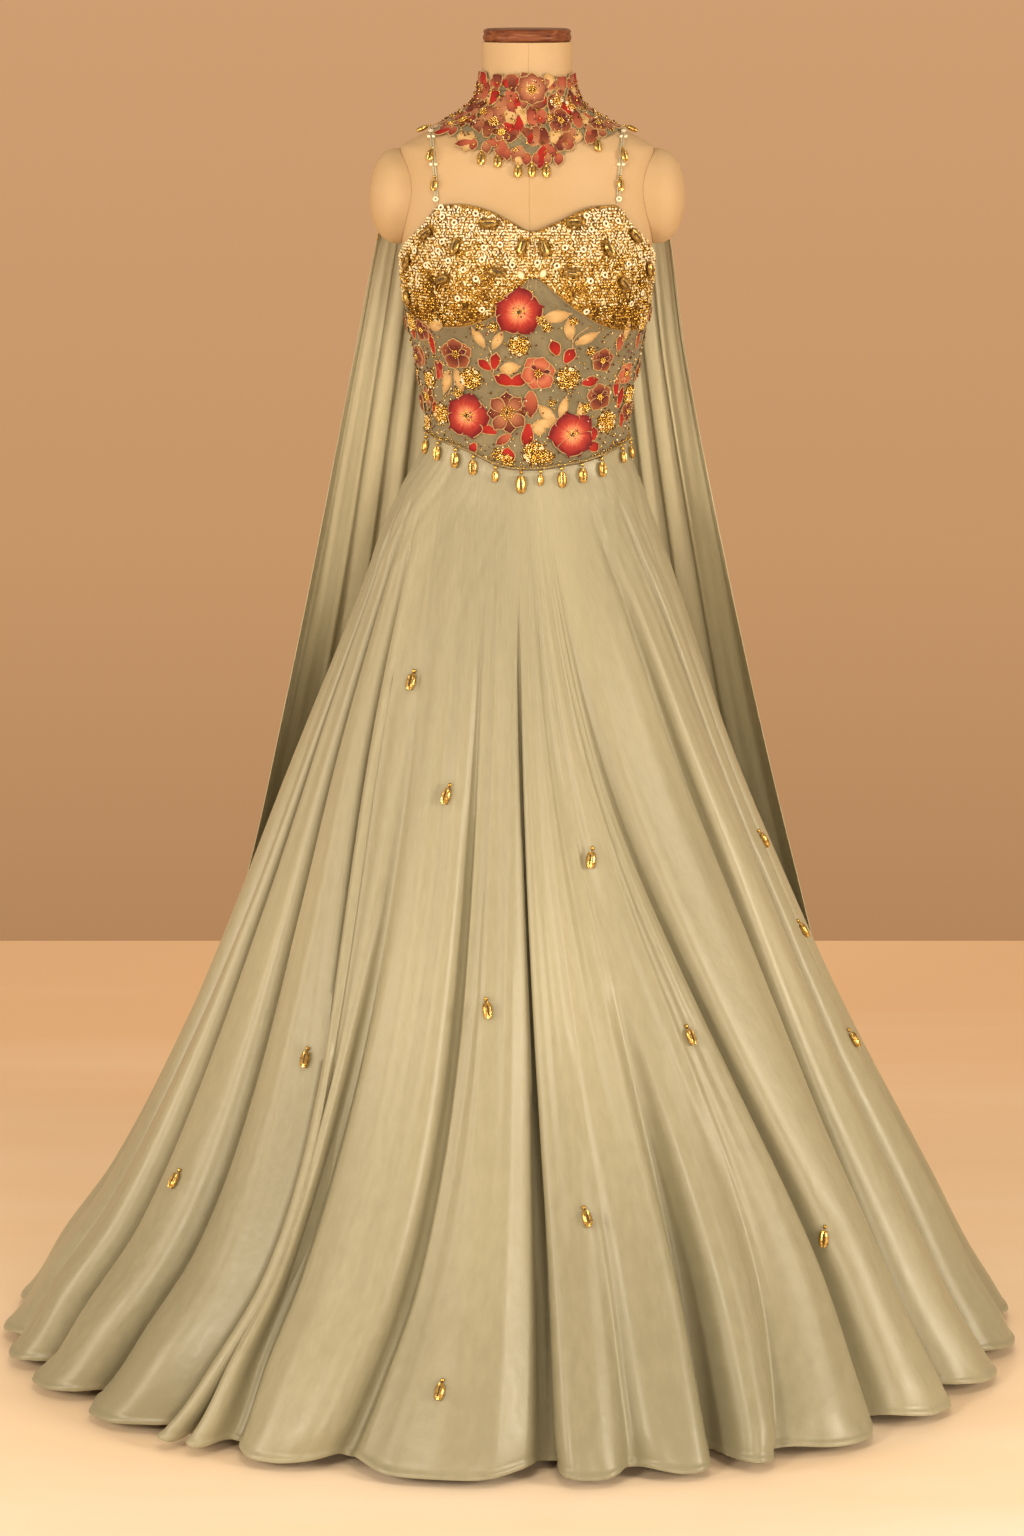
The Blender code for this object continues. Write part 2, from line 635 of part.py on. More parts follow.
def cape_point(side, place, z):
    """A point of the cape: place runs from its free edge, 0, to the seam down the back, 1."""
    left, right, edge_back, middle_back = (curve(z) for curve in cape_curves)
    reach = left if side < 0 else right
    turn = math.radians(90.0 * place)
    x = reach * math.cos(turn)
    y = edge_back + (middle_back - edge_back) * math.sin(turn)
    outward = Vector((math.cos(turn), math.sin(turn), 0.0))
    grown = ((CAPE_TOP - z) / (CAPE_TOP - CAPE_HEM)) ** 0.6
    depth = 0.0
    for (start, deep), (end, next_deep) in zip(CAPE_VALLEYS, CAPE_VALLEYS[1:]):
        if start <= place <= end:
            part = (place - start) / (end - start)
            depth = deep * hollow(part, 1.0) + next_deep * hollow(1.0 - part, 1.0)
    point = Vector((x, y, z)) - outward * depth * grown
    point.x *= side
    return point


def cape_normal(side, place, z):
    """The outward normal of the cape."""
    along = cape_point(side, min(place + 0.01, 1.0), z) - cape_point(side, max(place - 0.01, 0.0), z)
    rise = cape_point(side, place, min(z + 0.004, CAPE_TOP)) - cape_point(side, place, max(z - 0.004, CAPE_HEM))
    return (rise.cross(along) * side * -1.0).normalized()


def build_cape(name, side):
    """Half of the cape, from behind the collar down to the floor, 0.3 mm short of the other half."""
    heights = (CAPE_TOP, 1.535, 1.49, 1.40, 1.24, 1.05, 0.82, 0.56, 0.28, CAPE_HEM)
    places = []
    for (start, _), (end, _) in zip(CAPE_VALLEYS, CAPE_VALLEYS[1:]):
        places.extend(lerp(start, end, part) for part in (0.0, 0.33, 0.67))
    places.append(1.0)
    across = places if side > 0 else list(reversed(places))
    outer, inner = [], []
    for z in heights:
        row, under = [], []
        for place in across:
            point = cape_point(side, place, z)
            normal = cape_normal(side, place, z)
            if place == 1.0:
                point.x = side * SEAM / 2
                normal.x = 0.0
            row.append(point)
            under.append(point - normal.normalized() * CAPE_WALL)
        outer.append(row)
        inner.append(under)
    wall(name, outer, inner, SATIN)


def strap_path(side):
    """Points on the form from the top of the cup over the shoulder to the back, with their normals."""
    tree = skins["form_torso"]
    hub_z = 1.500
    path = []
    for turn in spread(-14.0, 158.0, 28) + spread(168.0, 240.0, 8):
        angle = math.radians(turn)
        aim = Vector((0.0, -math.cos(angle), math.sin(angle)))
        over = smoothstep(min(turn + 10.0, 190.0 - turn) / 75.0)
        x = side * lerp(STRAP_FRONT_X, STRAP_SHOULDER_X, over)
        hit, normal, _, _ = tree.ray_cast(Vector((x, 0.0, hub_z)), aim)
        path.append((hit, normal))
    return path


def build_strap(name, side):
    """A flat strap that lies on the form, from the cup over the shoulder to the top of the back."""
    path = []
    for hit, normal in strap_path(side):
        edge = STRAP_FRONT_FOOT if hit.y < 0.0 else bodice_top(true_azimuth(hit)) + STRAP_BACK_RISE
        if hit.z > edge:
            path.append((hit, normal))
    loops = []
    for number, (hit, normal) in enumerate(path):
        before, after = path[max(number - 1, 0)][0], path[min(number + 1, len(path) - 1)][0]
        width = (after - before).cross(normal).normalized() * STRAP_WIDTH / 2
        low = hit + normal * STRAP_GAP
        high = low + normal * STRAP_THICKNESS
        loops.append([low - width, low + width, high + width, high - width])
    rings(name, loops, SATIN)


def drop_shape():
    """The mesh of a small bead with a cowrie shell under it, hung from its own origin."""
    loops = []
    for down, half_width in DROP_OUTLINE[1:-1]:
        turns = [2.0 * math.pi * side / DROP_SIDES for side in range(DROP_SIDES)]
        flat = DROP_FLATNESS if down > 0.0045 else 1.0
        loops.append([Vector((half_width * math.cos(a), half_width * flat * math.sin(a), -down))
                      for a in turns])
    top = Vector((0.0, 0.0, -DROP_OUTLINE[0][0]))
    bottom = Vector((0.0, 0.0, -DROP_OUTLINE[-1][0]))
    return loops, top, bottom


def place_drop(name, trees, where, out, gap=REST_GAP):
    """Hangs a drop down a cloth, just clear of it. Its own -Y faces out."""
    loops, top, bottom = drop_shape()
    made = rings(name, loops, GOLD, top, bottom)
    flat_out = out.normalized()
    down = Vector((0.0, 0.0, -1.0))
    down = (down - flat_out * down.dot(flat_out)).normalized()
    side = flat_out.cross(down).normalized()
    turn = Matrix((side, -flat_out, -down)).transposed()
    far = 0.02
    clear = far
    corners = [vertex.co for vertex in made.data.vertices]
    middles = [(corners[edge.vertices[0]] + corners[edge.vertices[1]]) / 2 for edge in made.data.edges]
    for corner in corners + middles:
        spot = where + turn @ corner
        for tree in trees:
            hit = tree.ray_cast(spot + flat_out * far, -flat_out, 2 * far)
            if hit[0] is not None:
                clear = min(clear, hit[3] - far)
    made.matrix_world = Matrix.Translation(where + flat_out * (gap - clear)) @ turn.to_4x4()
    return made


def skin_at(names, azimuth, z):
    """The outermost point of some cloths at an azimuth and height, or just beside a seam there."""
    for beside in (0.0, 0.5, -0.5):
        turn = math.radians(azimuth + beside)
        outward = Vector((math.sin(turn), -math.cos(turn), 0.0))
        start = Vector((0.0, 0.0, z)) + outward * 1.5
        hits = [skins[name].ray_cast(start, -outward, 1.5) for name in names]
        hits = [hit for hit in hits if hit[0] is not None]
        if hits:
            best = min(hits, key=lambda hit: hit[3])
            return best[0], best[1]
    raise ValueError(f"no cloth at azimuth {azimuth}, height {z}")


def build_skirt_shells():
    """Shells sewn here and there on the skirt."""
    names = [name for name in skins if name.startswith("skirt")]
    trees = [skins[name] for name in names]
    for number, (azimuth, z) in enumerate(SKIRT_SHELLS, 1):
        where, normal = skin_at(names, azimuth, z)
        above = skin_at(names, azimuth, z + 0.008)[0]
        below = skin_at(names, azimuth, z - 0.020)[0]
        slope = (below - above).normalized()
        out = (normal - slope * normal.dot(slope)).normalized()
        place_drop(f"skirt_shell_{number:02d}", trees, above, out, SHELL_GAP)


def build_collar_shells():
    """Shells that hang from the lower edge of the collar onto the chest."""
    trees = [skins["form_torso"], skins["collar_front"]]
    for number, azimuth in enumerate(COLLAR_SHELLS, 1):
        foot = form_layer(azimuth, collar_foot(azimuth) - 0.0006, 0.0010)
        out = normal_of(form_point, azimuth, foot.z - 0.012)
        place_drop(f"collar_shell_{number}", trees, foot, out)


def build_strap_shells():
    """Two shells on each strap, over the chest."""
    for label, side in (("left", -1), ("right", 1)):
        for number, height in enumerate(STRAP_SHELLS, 1):
            spots = [(hit, normal) for hit, normal in strap_path(side) if hit.y < 0.0]
            hit, normal = min(spots, key=lambda spot: abs(spot[0].z - height))
            out = Vector((0.0, normal.y, normal.z)).normalized()
            where = hit + out * (STRAP_GAP + STRAP_THICKNESS)
            below, _, _, _ = skins["form_torso"].ray_cast(Vector((hit.x, 0.0, hit.z - 0.022)), Vector((0, -1, 0)))
            slope = (below - hit).normalized()
            out = (out - slope * out.dot(slope)).normalized()
            name = f"strap_shell_{label}_{number}"
            place_drop(name, [skins["form_torso"]], where, out, REST_GAP + STRAP_GAP + STRAP_THICKNESS)


def build_flower(name, azimuth, height, radius, petals, turn, base):
    """A thick flower that lies on the bodice: a low mound with a petalled outline."""
    sides = petals * 3
    under = base + FLOWER_GAP
    middle = form_point(azimuth, height)
    round_form = math.degrees(1.0 / math.hypot(middle.x, middle.y))

    def ring(part, offset):
        loop = []
        for side in range(sides):
            a = 2.0 * math.pi * side / sides
            reach = radius * part * (1.0 + 0.13 * math.cos(petals * a + turn))
            beside = azimuth + reach * math.cos(a) * round_form
            loop.append(form_layer(beside, height + reach * math.sin(a), offset))
        return loop

    thin, thick = under + FLOWER_THICKNESS * 0.5, under + FLOWER_THICKNESS
    loops = [ring(0.6, thick), ring(1.0, thin), ring(1.0, under), ring(0.6, under)]
    top = form_layer(azimuth, height, under + FLOWER_THICKNESS * 0.7)
    rings(name, loops, PETAL, top=top, bottom=form_layer(azimuth, height, under))


def build_hem_trim():
    """The piping round the bodice's hem, with its shells joined to it."""
    offset = BODICE_OUTER + TRIM_GAP + PIPING_RADIUS
    steps, sides = 44, 4
    points, faces = [], []
    for step in range(steps):
        azimuth = -180.0 + 360.0 * step / steps
        z = bodice_hem(azimuth) + PIPING_RADIUS + 0.0006
        middle = form_layer(azimuth, z, offset)
        out = normal_of(form_point, azimuth, z)
        out = Vector((out.x, out.y, 0.0)).normalized()
        for side in range(sides):
            a = 2.0 * math.pi * side / sides
            points.append(middle + out * PIPING_RADIUS * math.cos(a) + Vector((0, 0, PIPING_RADIUS * math.sin(a))))
    for step in range(steps):
        for side in range(sides):
            a, b = step * sides + side, step * sides + (side + 1) % sides
            c, d = (a + sides) % (steps * sides), (b + sides) % (steps * sides)
            faces.append((a, c, d, b))
    trim = add_object("bodice_hem_trim", points, faces, GOLD)
    guides = bpy.data.collections.new("hem shells")
    bpy.context.scene.collection.children.link(guides)
    trees = [skins["skirt_front"], skins["skirt_side_left"], skins["skirt_side_right"], skins["bodice_front"]]
    for number, azimuth in enumerate(HEM_SHELLS, 1):
        z = bodice_hem(azimuth) + PIPING_RADIUS
        where = form_layer(azimuth, z + DROP_OUTLINE[1][0], offset)
        names = ("skirt_front", "skirt_side_left", "skirt_side_right")
        below = skin_at(names, azimuth, z - 0.034)[0]
        start = skin_at(names, azimuth, z - 0.014)[0]
        slope = (below - start).normalized()
        out = Vector((where.x, where.y, 0.0)).normalized()
        out = (out - slope * out.dot(slope)).normalized()
        drop = place_drop(f"hem_shell_guide_{number:02d}", trees, where, out, TRIM_GAP)
        drop.hide_render = True
        drop.display_type = "WIRE"
        bpy.context.scene.collection.objects.unlink(drop)
        guides.objects.link(drop)
    union = trim.modifiers.new("shells", "BOOLEAN")
    union.operation = "UNION"
    union.operand_type = "COLLECTION"
    union.collection = guides
    union.solver = "EXACT"


def build_all():
    """Builds every piece, the form first and then what lies on it."""
    clear_scene()
    build_torso()
    build_arm_cap("form_shoulder_left", -1)
    build_arm_cap("form_shoulder_right", 1)
    build_stand()
    build_bodice()
    build_collar()
    build_skirt()
    build_cape("cape_left", -1)
    build_cape("cape_right", 1)
    build_strap("strap_left", -1)
    build_strap("strap_right", 1)
    for number, flower in enumerate(FLOWERS, 1):
        build_flower(f"bodice_flower_{number}", *flower)
    build_hem_trim()
    build_collar_shells()
    build_strap_shells()
    build_skirt_shells()


build_all()
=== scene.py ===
import math
import random

import bmesh
import bpy
import numpy as np
from mathutils import Matrix, Vector, noise
from mathutils.bvhtree import BVHTree


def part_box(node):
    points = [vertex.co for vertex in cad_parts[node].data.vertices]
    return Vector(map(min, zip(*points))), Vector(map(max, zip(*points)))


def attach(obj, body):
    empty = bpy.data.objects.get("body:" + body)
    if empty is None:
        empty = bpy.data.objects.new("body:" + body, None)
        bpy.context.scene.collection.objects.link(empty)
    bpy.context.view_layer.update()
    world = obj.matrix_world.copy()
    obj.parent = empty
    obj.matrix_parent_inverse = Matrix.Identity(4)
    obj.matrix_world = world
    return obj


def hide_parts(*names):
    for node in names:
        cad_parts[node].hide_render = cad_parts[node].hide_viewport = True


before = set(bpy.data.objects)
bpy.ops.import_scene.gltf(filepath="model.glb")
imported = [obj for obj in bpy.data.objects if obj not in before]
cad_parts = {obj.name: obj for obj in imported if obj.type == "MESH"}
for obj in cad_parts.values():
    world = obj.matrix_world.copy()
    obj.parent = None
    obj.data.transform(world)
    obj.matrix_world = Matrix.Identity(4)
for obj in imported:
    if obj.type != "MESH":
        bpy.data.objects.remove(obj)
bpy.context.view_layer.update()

chance = random.Random(7)

# The camera: where it stands, how far it looks down, and its lens
CAMERA_PLACE = (-0.019, -5.5, 1.814)
CAMERA_PITCH = 10.92
CAMERA_LENS = 101.44

# The floor: half its width, and how far it runs before and behind the gown
FLOOR_SIDE = 2.40
FLOOR_FRONT = 2.35
FLOOR_BACK = 2.23

# The form and the cloth, as in the model: how far each layer's face lies off the form, and main heights
REST_GAP = 0.0006
BODICE_OUTER = 0.0046
CUP_OUTER = 0.0054
COLLAR_OUTER = 0.0037
SEAM = 0.0003
CAP_TOP = 1.697
CAP_RADIUS = 0.0556
NECK_TOP = 1.680
FORM_FOOT = 0.930
ARM_CENTRE = (0.160, 0.0, 1.4885)
ARM_RADII = (0.0395, 0.056, 0.0600)
STRAP_FRONT_X = 0.1125
STRAP_SHOULDER_X = 0.1190
STRAP_FRONT_FOOT = 1.4830
STRAP_BACK_RISE = 0.004
SKIRT_BLEND = 0.035
SKIRT_TOP = 1.17
FOLD_GROWTH = 1.15
FOLD_LIFT = 0.006
SKIRT_HEM = 0.012
CAPE_TOP = 1.5535
CAPE_HEM = 0.020
CAPE_GROWTH = 0.6
# Where the bodice is sewn: the azimuth of its front, side and back seams, and half a seam's width
FRONT_SEAM = 1.5
SIDE_SEAM = 78.0
BACK_SEAM = 118.0
SEAM_TURN = 0.06
# How thick each cloth is drawn
CUP_THICK = 0.0026
PANEL_THICK = 0.0018
NAPE_THICK = 0.0013
NET_THICK = 0.0009
SKIRT_THICK = 0.0009
CAPE_THICK = 0.0008
# The collar's net lies this much under the plain nape's face
NET_SINK = 0.0008
# A turn after which nothing in a spiral lines up with what came before
GOLDEN_TURN = 2.39996
# Sections of the form: height, half width, depth to the front and to the back, squareness of the oval
FORM = (
    (0.930, 0.150, 0.108, 0.112, 2.2),
    (1.000, 0.152, 0.106, 0.112, 2.2),
    (1.060, 0.146, 0.100, 0.106, 2.2),
    (1.120, 0.134, 0.096, 0.094, 2.2),
    (1.160, 0.1265, 0.0935, 0.085, 2.2),
    (1.195, 0.1245, 0.0930, 0.081, 2.2),
    (1.250, 0.1310, 0.0975, 0.084, 2.2),
    (1.310, 0.1430, 0.1030, 0.090, 2.3),
    (1.370, 0.1530, 0.1060, 0.096, 2.5),
    (1.420, 0.1575, 0.1040, 0.100, 2.7),
    (1.470, 0.1595, 0.0970, 0.099, 2.8),
    (1.520, 0.1590, 0.0860, 0.092, 2.8),
    (1.545, 0.1600, 0.0790, 0.083, 2.7),
    (1.5505, 0.1590, 0.0765, 0.080, 2.6),
    (1.5565, 0.1500, 0.0745, 0.0775, 2.5),
    (1.568, 0.1280, 0.0700, 0.073, 2.4),
    (1.580, 0.1005, 0.0660, 0.070, 2.2),
    (1.594, 0.0785, 0.0625, 0.067, 2.1),
    (1.608, 0.0635, 0.0595, 0.062, 2.0),
    (1.625, 0.0580, 0.0575, 0.058, 2.0),
    (1.655, 0.0565, 0.0565, 0.0565, 2.0),
    (1.680, 0.0568, 0.0568, 0.0568, 2.0),
)
# The two sides of the bust: azimuth, height, push, spread round, spread above and below
BUST = (
    (-32.0, 1.380, 0.026, 27.0, 0.074, 0.054),
    (32.0, 1.380, 0.026, 27.0, 0.074, 0.054),
)
BUST_SIDEWAYS = 0.30
# Edges of the bodice and the collar: azimuth, height
BODICE_TOP = (
    (-180, 1.352), (-125, 1.362), (-98, 1.388), (-80, 1.412), (-70, 1.4305), (-59, 1.456), (-51.5, 1.481),
    (-43, 1.4825), (-27, 1.476), (-12, 1.4625), (3.5, 1.450), (14, 1.457), (24, 1.465), (34, 1.4745),
    (43, 1.480), (52, 1.481), (59, 1.456), (70, 1.4305), (80, 1.412), (98, 1.388), (125, 1.362),
    (180, 1.352),
)
CUP_FOOT = (
    (-80, 1.362), (-76, 1.354), (-68, 1.339), (-59, 1.3335), (-50, 1.3325), (-40, 1.334), (-31, 1.3385),
    (-23, 1.345), (-15, 1.355), (-7, 1.371), (3.5, 1.3955), (10, 1.386), (17, 1.374), (25, 1.3605),
    (33, 1.3485), (41, 1.3385), (50, 1.330), (58, 1.326), (67, 1.3245), (80, 1.334),
)
BODICE_HEM = (
    (-180, 1.194), (-90, 1.192), (-66, 1.185), (-55, 1.1805), (-40, 1.172), (-30, 1.163), (-20, 1.156),
    (-9, 1.1525), (4, 1.152), (15, 1.1535), (24, 1.156), (38, 1.160), (52, 1.166), (63, 1.173),
    (87, 1.181), (180, 1.194),
)
COLLAR_TOP = (
    (-180, 1.634), (-100, 1.635), (-75, 1.637), (-27, 1.6345), (-10, 1.636), (5, 1.6405), (21, 1.636),
    (42, 1.631), (73, 1.6345), (100, 1.635), (180, 1.634),
)
COLLAR_FOOT = (
    (-180, 1.5540), (-140, 1.5560), (-120, 1.5630), (-105, 1.5735), (-90, 1.5765), (-79, 1.5735),
    (-72, 1.5700), (-60, 1.5658), (-48, 1.5577), (-41, 1.5506), (-34, 1.5490), (-26, 1.5472),
    (-18, 1.5423), (-9, 1.5351), (5, 1.5360), (25, 1.5351), (31, 1.5455), (36, 1.5550), (40, 1.5590),
    (49, 1.5635), (58, 1.5634), (70, 1.5690), (80, 1.5735), (90, 1.5765), (105, 1.5735), (120, 1.5630),
    (140, 1.5560), (180, 1.5540),
)
# The skirt's outline without its folds: height, reach to the left, right, front and back
SKIRT = (
    (1.200, 0.1285, 0.1280, 0.0985, 0.0860),
    (1.165, 0.1365, 0.1310, 0.1000, 0.0920),
    (1.120, 0.1610, 0.1480, 0.1100, 0.1080),
    (1.060, 0.1870, 0.1690, 0.1330, 0.1310),
    (1.000, 0.2080, 0.1910, 0.1600, 0.1560),
    (0.800, 0.2855, 0.2560, 0.2430, 0.2430),
    (0.600, 0.3650, 0.3390, 0.3250, 0.3300),
    (0.400, 0.4540, 0.4320, 0.4100, 0.4200),
    (0.200, 0.5600, 0.5380, 0.5180, 0.5300),
    (0.100, 0.6330, 0.5900, 0.5780, 0.5900),
    (0.040, 0.6680, 0.6280, 0.6120, 0.6300),
    (0.012, 0.6900, 0.6450, 0.6260, 0.6450),
)
# The skirt's valleys: azimuth at each of four heights, where it starts, its depth at the hem, how
# narrow it is, and how far it leans round
VALLEY_HEIGHTS = (1.15, 0.85, 0.50, 0.01)
VALLEYS = (
    (-96.0, -94.0, -93.0, -92.0, 1.05, 0.040, 1.6, 0.8),
    (-82.0, -80.0, -80.0, -80.5, 0.85, 0.030, 1.4, 0.8),
    (-70.0, -73.0, -70.5, -70.5, 1.10, 0.055, 2.0, 1.6),
    (-61.0, -61.5, -55.0, -58.0, 1.12, 0.058, 2.0, 1.6),
    (-53.0, -48.0, -37.6, -42.0, 1.10, 0.060, 1.8, 1.6),
    (-48.0, -42.0, -34.3, -38.4, 0.48, 0.034, 1.0, 0.5),
    (-43.0, -32.5, -30.5, -34.0, 0.95, 0.036, 1.4, 0.8),
    (-17.0, -14.0, -13.0, -21.5, 1.02, 0.044, 2.2, 1.4),
    (-4.0, -2.0, 0.5, 2.2, 1.02, 0.060, 3.2, 0.0),
    (-1.0, 3.5, 8.5, 12.4, 0.50, 0.026, 1.3, -0.7),
    (2.5, 8.5, 18.0, 22.8, 0.55, 0.064, 1.8, -1.6),
    (5.5, 13.5, 27.0, 29.5, 0.45, 0.026, 1.2, -0.6),
    (9.0, 19.5, 36.5, 46.4, 1.06, 0.050, 2.0, -1.6),
    (26.0, 50.0, 58.5, 60.3, 1.13, 0.056, 2.0, -1.6),
    (47.0, 66.0, 73.0, 74.0, 1.13, 0.048, 1.8, -1.4),
    (60.0, 79.0, 86.0, 87.5, 1.12, 0.036, 1.5, -0.8),
    (86.0, 97.0, 100.0, 101.0, 0.90, 0.038, 1.6, -0.6),
    (104.0, 112.0, 114.0, 115.0, 1.08, 0.048, 1.8, 0.0),
    (121.0, 126.0, 128.0, 128.0, 0.70, 0.038, 1.5, 0.0),
    (137.0, 140.0, 141.0, 142.0, 1.10, 0.052, 1.9, 0.0),
    (152.0, 154.0, 155.0, 156.0, 0.80, 0.040, 1.6, 0.0),
    (166.0, 167.0, 168.0, 168.5, 1.05, 0.050, 1.8, 0.0),
    (180.0, 180.0, 180.0, 180.0, 1.00, 0.046, 1.7, 0.0),
    (194.0, 193.5, 193.0, 193.0, 1.08, 0.052, 1.8, 0.0),
    (208.0, 207.0, 206.5, 206.5, 0.75, 0.038, 1.5, 0.0),
    (222.0, 221.0, 220.0, 220.0, 1.10, 0.050, 1.8, 0.0),
    (236.0, 235.0, 234.0, 234.0, 0.85, 0.040, 1.6, 0.0),
    (250.0, 250.5, 250.5, 251.5, 1.06, 0.046, 1.7, 0.0),
)
# Which valleys the gores are sewn in
LEFT_SEAM, RIGHT_SEAM, RIGHT_SIDE, CENTRE_BACK = 6, 13, 17, 22
# The cape's outline without its folds: height, reach of the left and the right edge, how far back
# those edges are, and how far back the middle is
CAPE = (
    (1.553, 0.1130, 0.1130, 0.0666, 0.0818),
    (1.545, 0.1270, 0.1270, 0.0736, 0.0920),
    (1.530, 0.1480, 0.1480, 0.0770, 0.1000),
    (1.490, 0.1740, 0.1720, 0.0790, 0.1070),
    (1.430, 0.1920, 0.1840, 0.0860, 0.1130),
    (1.300, 0.2180, 0.2020, 0.0950, 0.1200),
    (1.190, 0.2400, 0.2220, 0.1000, 0.1360),
    (1.000, 0.2780, 0.2620, 0.1050, 0.1920),
    (0.800, 0.3220, 0.3070, 0.1100, 0.2820),
    (0.600, 0.3680, 0.3560, 0.1250, 0.3660),
    (0.400, 0.4320, 0.4120, 0.1700, 0.4560),
    (0.200, 0.5350, 0.5120, 0.2250, 0.5650),
    (0.020, 0.6500, 0.6150, 0.2750, 0.6780),
)
# The cape's valleys on each side, from its free edge to the back seam: place, depth at the hem
CAPE_VALLEYS = (
    (0.000, 0.000), (0.300, 0.018), (0.430, 0.020), (0.530, 0.021), (0.630, 0.017), (0.730, 0.021),
    (0.830, 0.017), (0.920, 0.016), (1.000, 0.004),
)
# Shells sewn on the skirt: azimuth, height
SKIRT_SHELLS = (
    (-41.0, 0.903), (-22.6, 0.773), (-8.4, 0.528), (-44.0, 0.449), (16.2, 0.700), (31.7, 0.488),
    (7.9, 0.295), (-61.5, 0.283), (48.6, 0.231), (-10.3, 0.112), (77.0, 0.679), (80.5, 0.560),
    (79.0, 0.420),
)
# Shells that hang from the collar and from the bodice's hem: azimuth
COLLAR_SHELLS = (-37.0, -25.0, -8.0, 4.0, 16.0, 54.0)
HEM_SHELLS = (-76.0, -63.0, -50.0, -38.0, -23.0, -4.5, 10.0, 25.0, 39.0, 52.0, 69.0, 82.0)


def smoothstep(value):
    """0 below 0, 1 above 1 and a soft step between."""
    value = min(max(value, 0.0), 1.0)
    return value * value * (3.0 - 2.0 * value)


def lerp(start, end, part):
    """The value a given part of the way from start to end."""
    return start + (end - start) * part


class Curve:
    """A smooth curve through a table's points, which never swings past them."""

    def __init__(self, places, values):
        self.places = list(places)
        self.values = list(values)
        steps = [b - a for a, b in zip(self.places, self.places[1:])]
        slopes = [(b - a) / step for a, b, step in zip(self.values, self.values[1:], steps)]
        self.tangents = [slopes[0]]
        for before, after in zip(slopes, slopes[1:]):
            level = before * after <= 0.0
            self.tangents.append(0.0 if level else 2.0 * before * after / (before + after))
        self.tangents.append(slopes[-1])

    def __call__(self, place):
        place = min(max(place, self.places[0]), self.places[-1])
        index = 0
        while index < len(self.places) - 2 and place > self.places[index + 1]:
            index += 1
        width = self.places[index + 1] - self.places[index]
        t = (place - self.places[index]) / width
        start, end = self.values[index], self.values[index + 1]
        out, into = self.tangents[index] * width, self.tangents[index + 1] * width
        bend = (2 * t**3 - 3 * t**2 + 1) * start + (3 * t**2 - 2 * t**3) * end
        return bend + (t**3 - 2 * t**2 + t) * out + (t**3 - t**2) * into


def columns(table):
    """A curve over the first column for each of a table's other columns."""
    rows = sorted(table)
    places = [row[0] for row in rows]
    return [Curve(places, [row[k] for row in rows]) for k in range(1, len(rows[0]))]


form_curves = columns(FORM)
skirt_curves = columns(SKIRT)
cape_curves = columns(CAPE)
bodice_top = columns(BODICE_TOP)[0]
cup_foot = columns(CUP_FOOT)[0]
bodice_hem = columns(BODICE_HEM)[0]
collar_top = columns(COLLAR_TOP)[0]
collar_foot = columns(COLLAR_FOOT)[0]


def wrapped(azimuth):
    """The azimuth in degrees between -180 and 180."""
    return (azimuth + 180.0) % 360.0 - 180.0


def oval(azimuth, half_width, depth, square):
    """A squared oval's reach from its middle at an azimuth."""
    turn = math.radians(azimuth)
    across = abs(math.sin(turn) / half_width) ** square
    forward = abs(math.cos(turn) / depth) ** square
    return (across + forward) ** (-1.0 / square)


def form_point(azimuth, z):
    """A point on the canvas form."""
    half_width, front, back, square = (curve(z) for curve in form_curves)
    azimuth = wrapped(azimuth)
    turn = math.radians(azimuth)
    reach = oval(azimuth, half_width, front if abs(azimuth) < 90.0 else back, square)
    x, y = reach * math.sin(turn), -reach * math.cos(turn)
    for middle, height, push, spread, above, below in BUST:
        round_it = wrapped(azimuth - middle) / spread
        up = (z - height) / (above if z > height else below)
        swell = push * math.exp(-round_it * round_it - up * up)
        x += math.copysign(BUST_SIDEWAYS * swell, middle)
        y -= swell
    return Vector((x, y, z))


def form_normal(azimuth, z):
    """The form's outward direction."""
    side = form_point(azimuth + 0.4, z) - form_point(azimuth - 0.4, z)
    rise = form_point(azimuth, z + 0.0015) - form_point(azimuth, z - 0.0015)
    return side.cross(rise).normalized()


def form_layer(azimuth, z, offset):
    """A point that lies a little way off the form."""
    return form_point(azimuth, z) + form_normal(azimuth, z) * offset


def spread(start, end, count):
    """Evenly spaced values from start to end, both included."""
    return [lerp(start, end, index / (count - 1)) for index in range(count)]


def cubic_through(places, values, place):
    """The cubic through four points, read at a place."""
    total = 0.0
    for i, value in enumerate(values):
        weight = 1.0
        for j, other in enumerate(places):
            if j != i:
                weight *= (place - other) / (places[i] - other)
        total += value * weight
    return total


def valley(index):
    """A row of the skirt's valleys, counted on past the last one, with the whole turns it has made."""
    return VALLEYS[index % len(VALLEYS)], 360.0 * (index // len(VALLEYS))


def valley_azimuth(index, z):
    """Where a valley is at a height."""
    row, turns = valley(index)
    return cubic_through(VALLEY_HEIGHTS, row[:4], min(z, SKIRT_TOP)) + turns


def flute_azimuth(flute, z):
    """Where a place across the flutes is at a height. Valleys are at whole numbers."""
    index = math.floor(flute)
    return lerp(valley_azimuth(index, z), valley_azimuth(index + 1, z), flute - index)


def hollow(part, narrow):
    """The shape of a valley's side: 1 at its floor, 0 half way to the next one."""
    if part >= 0.5:
        return 0.0
    return math.cos(math.pi * part) ** (2.0 * narrow)


def true_azimuth(point):
    """The azimuth of a point round the form's axis."""
    return math.degrees(math.atan2(point.x, -point.y))


def skirt_outline(azimuth, z):
    """The skirt without its folds. Its own azimuth runs evenly along the oval."""
    left, right, front, back = (curve(z) for curve in skirt_curves)
    turn = math.radians(azimuth)
    side = right if math.sin(turn) > 0.0 else left
    depth = front if math.cos(turn) > 0.0 else back
    return Vector((side * math.sin(turn), -depth * math.cos(turn), z))


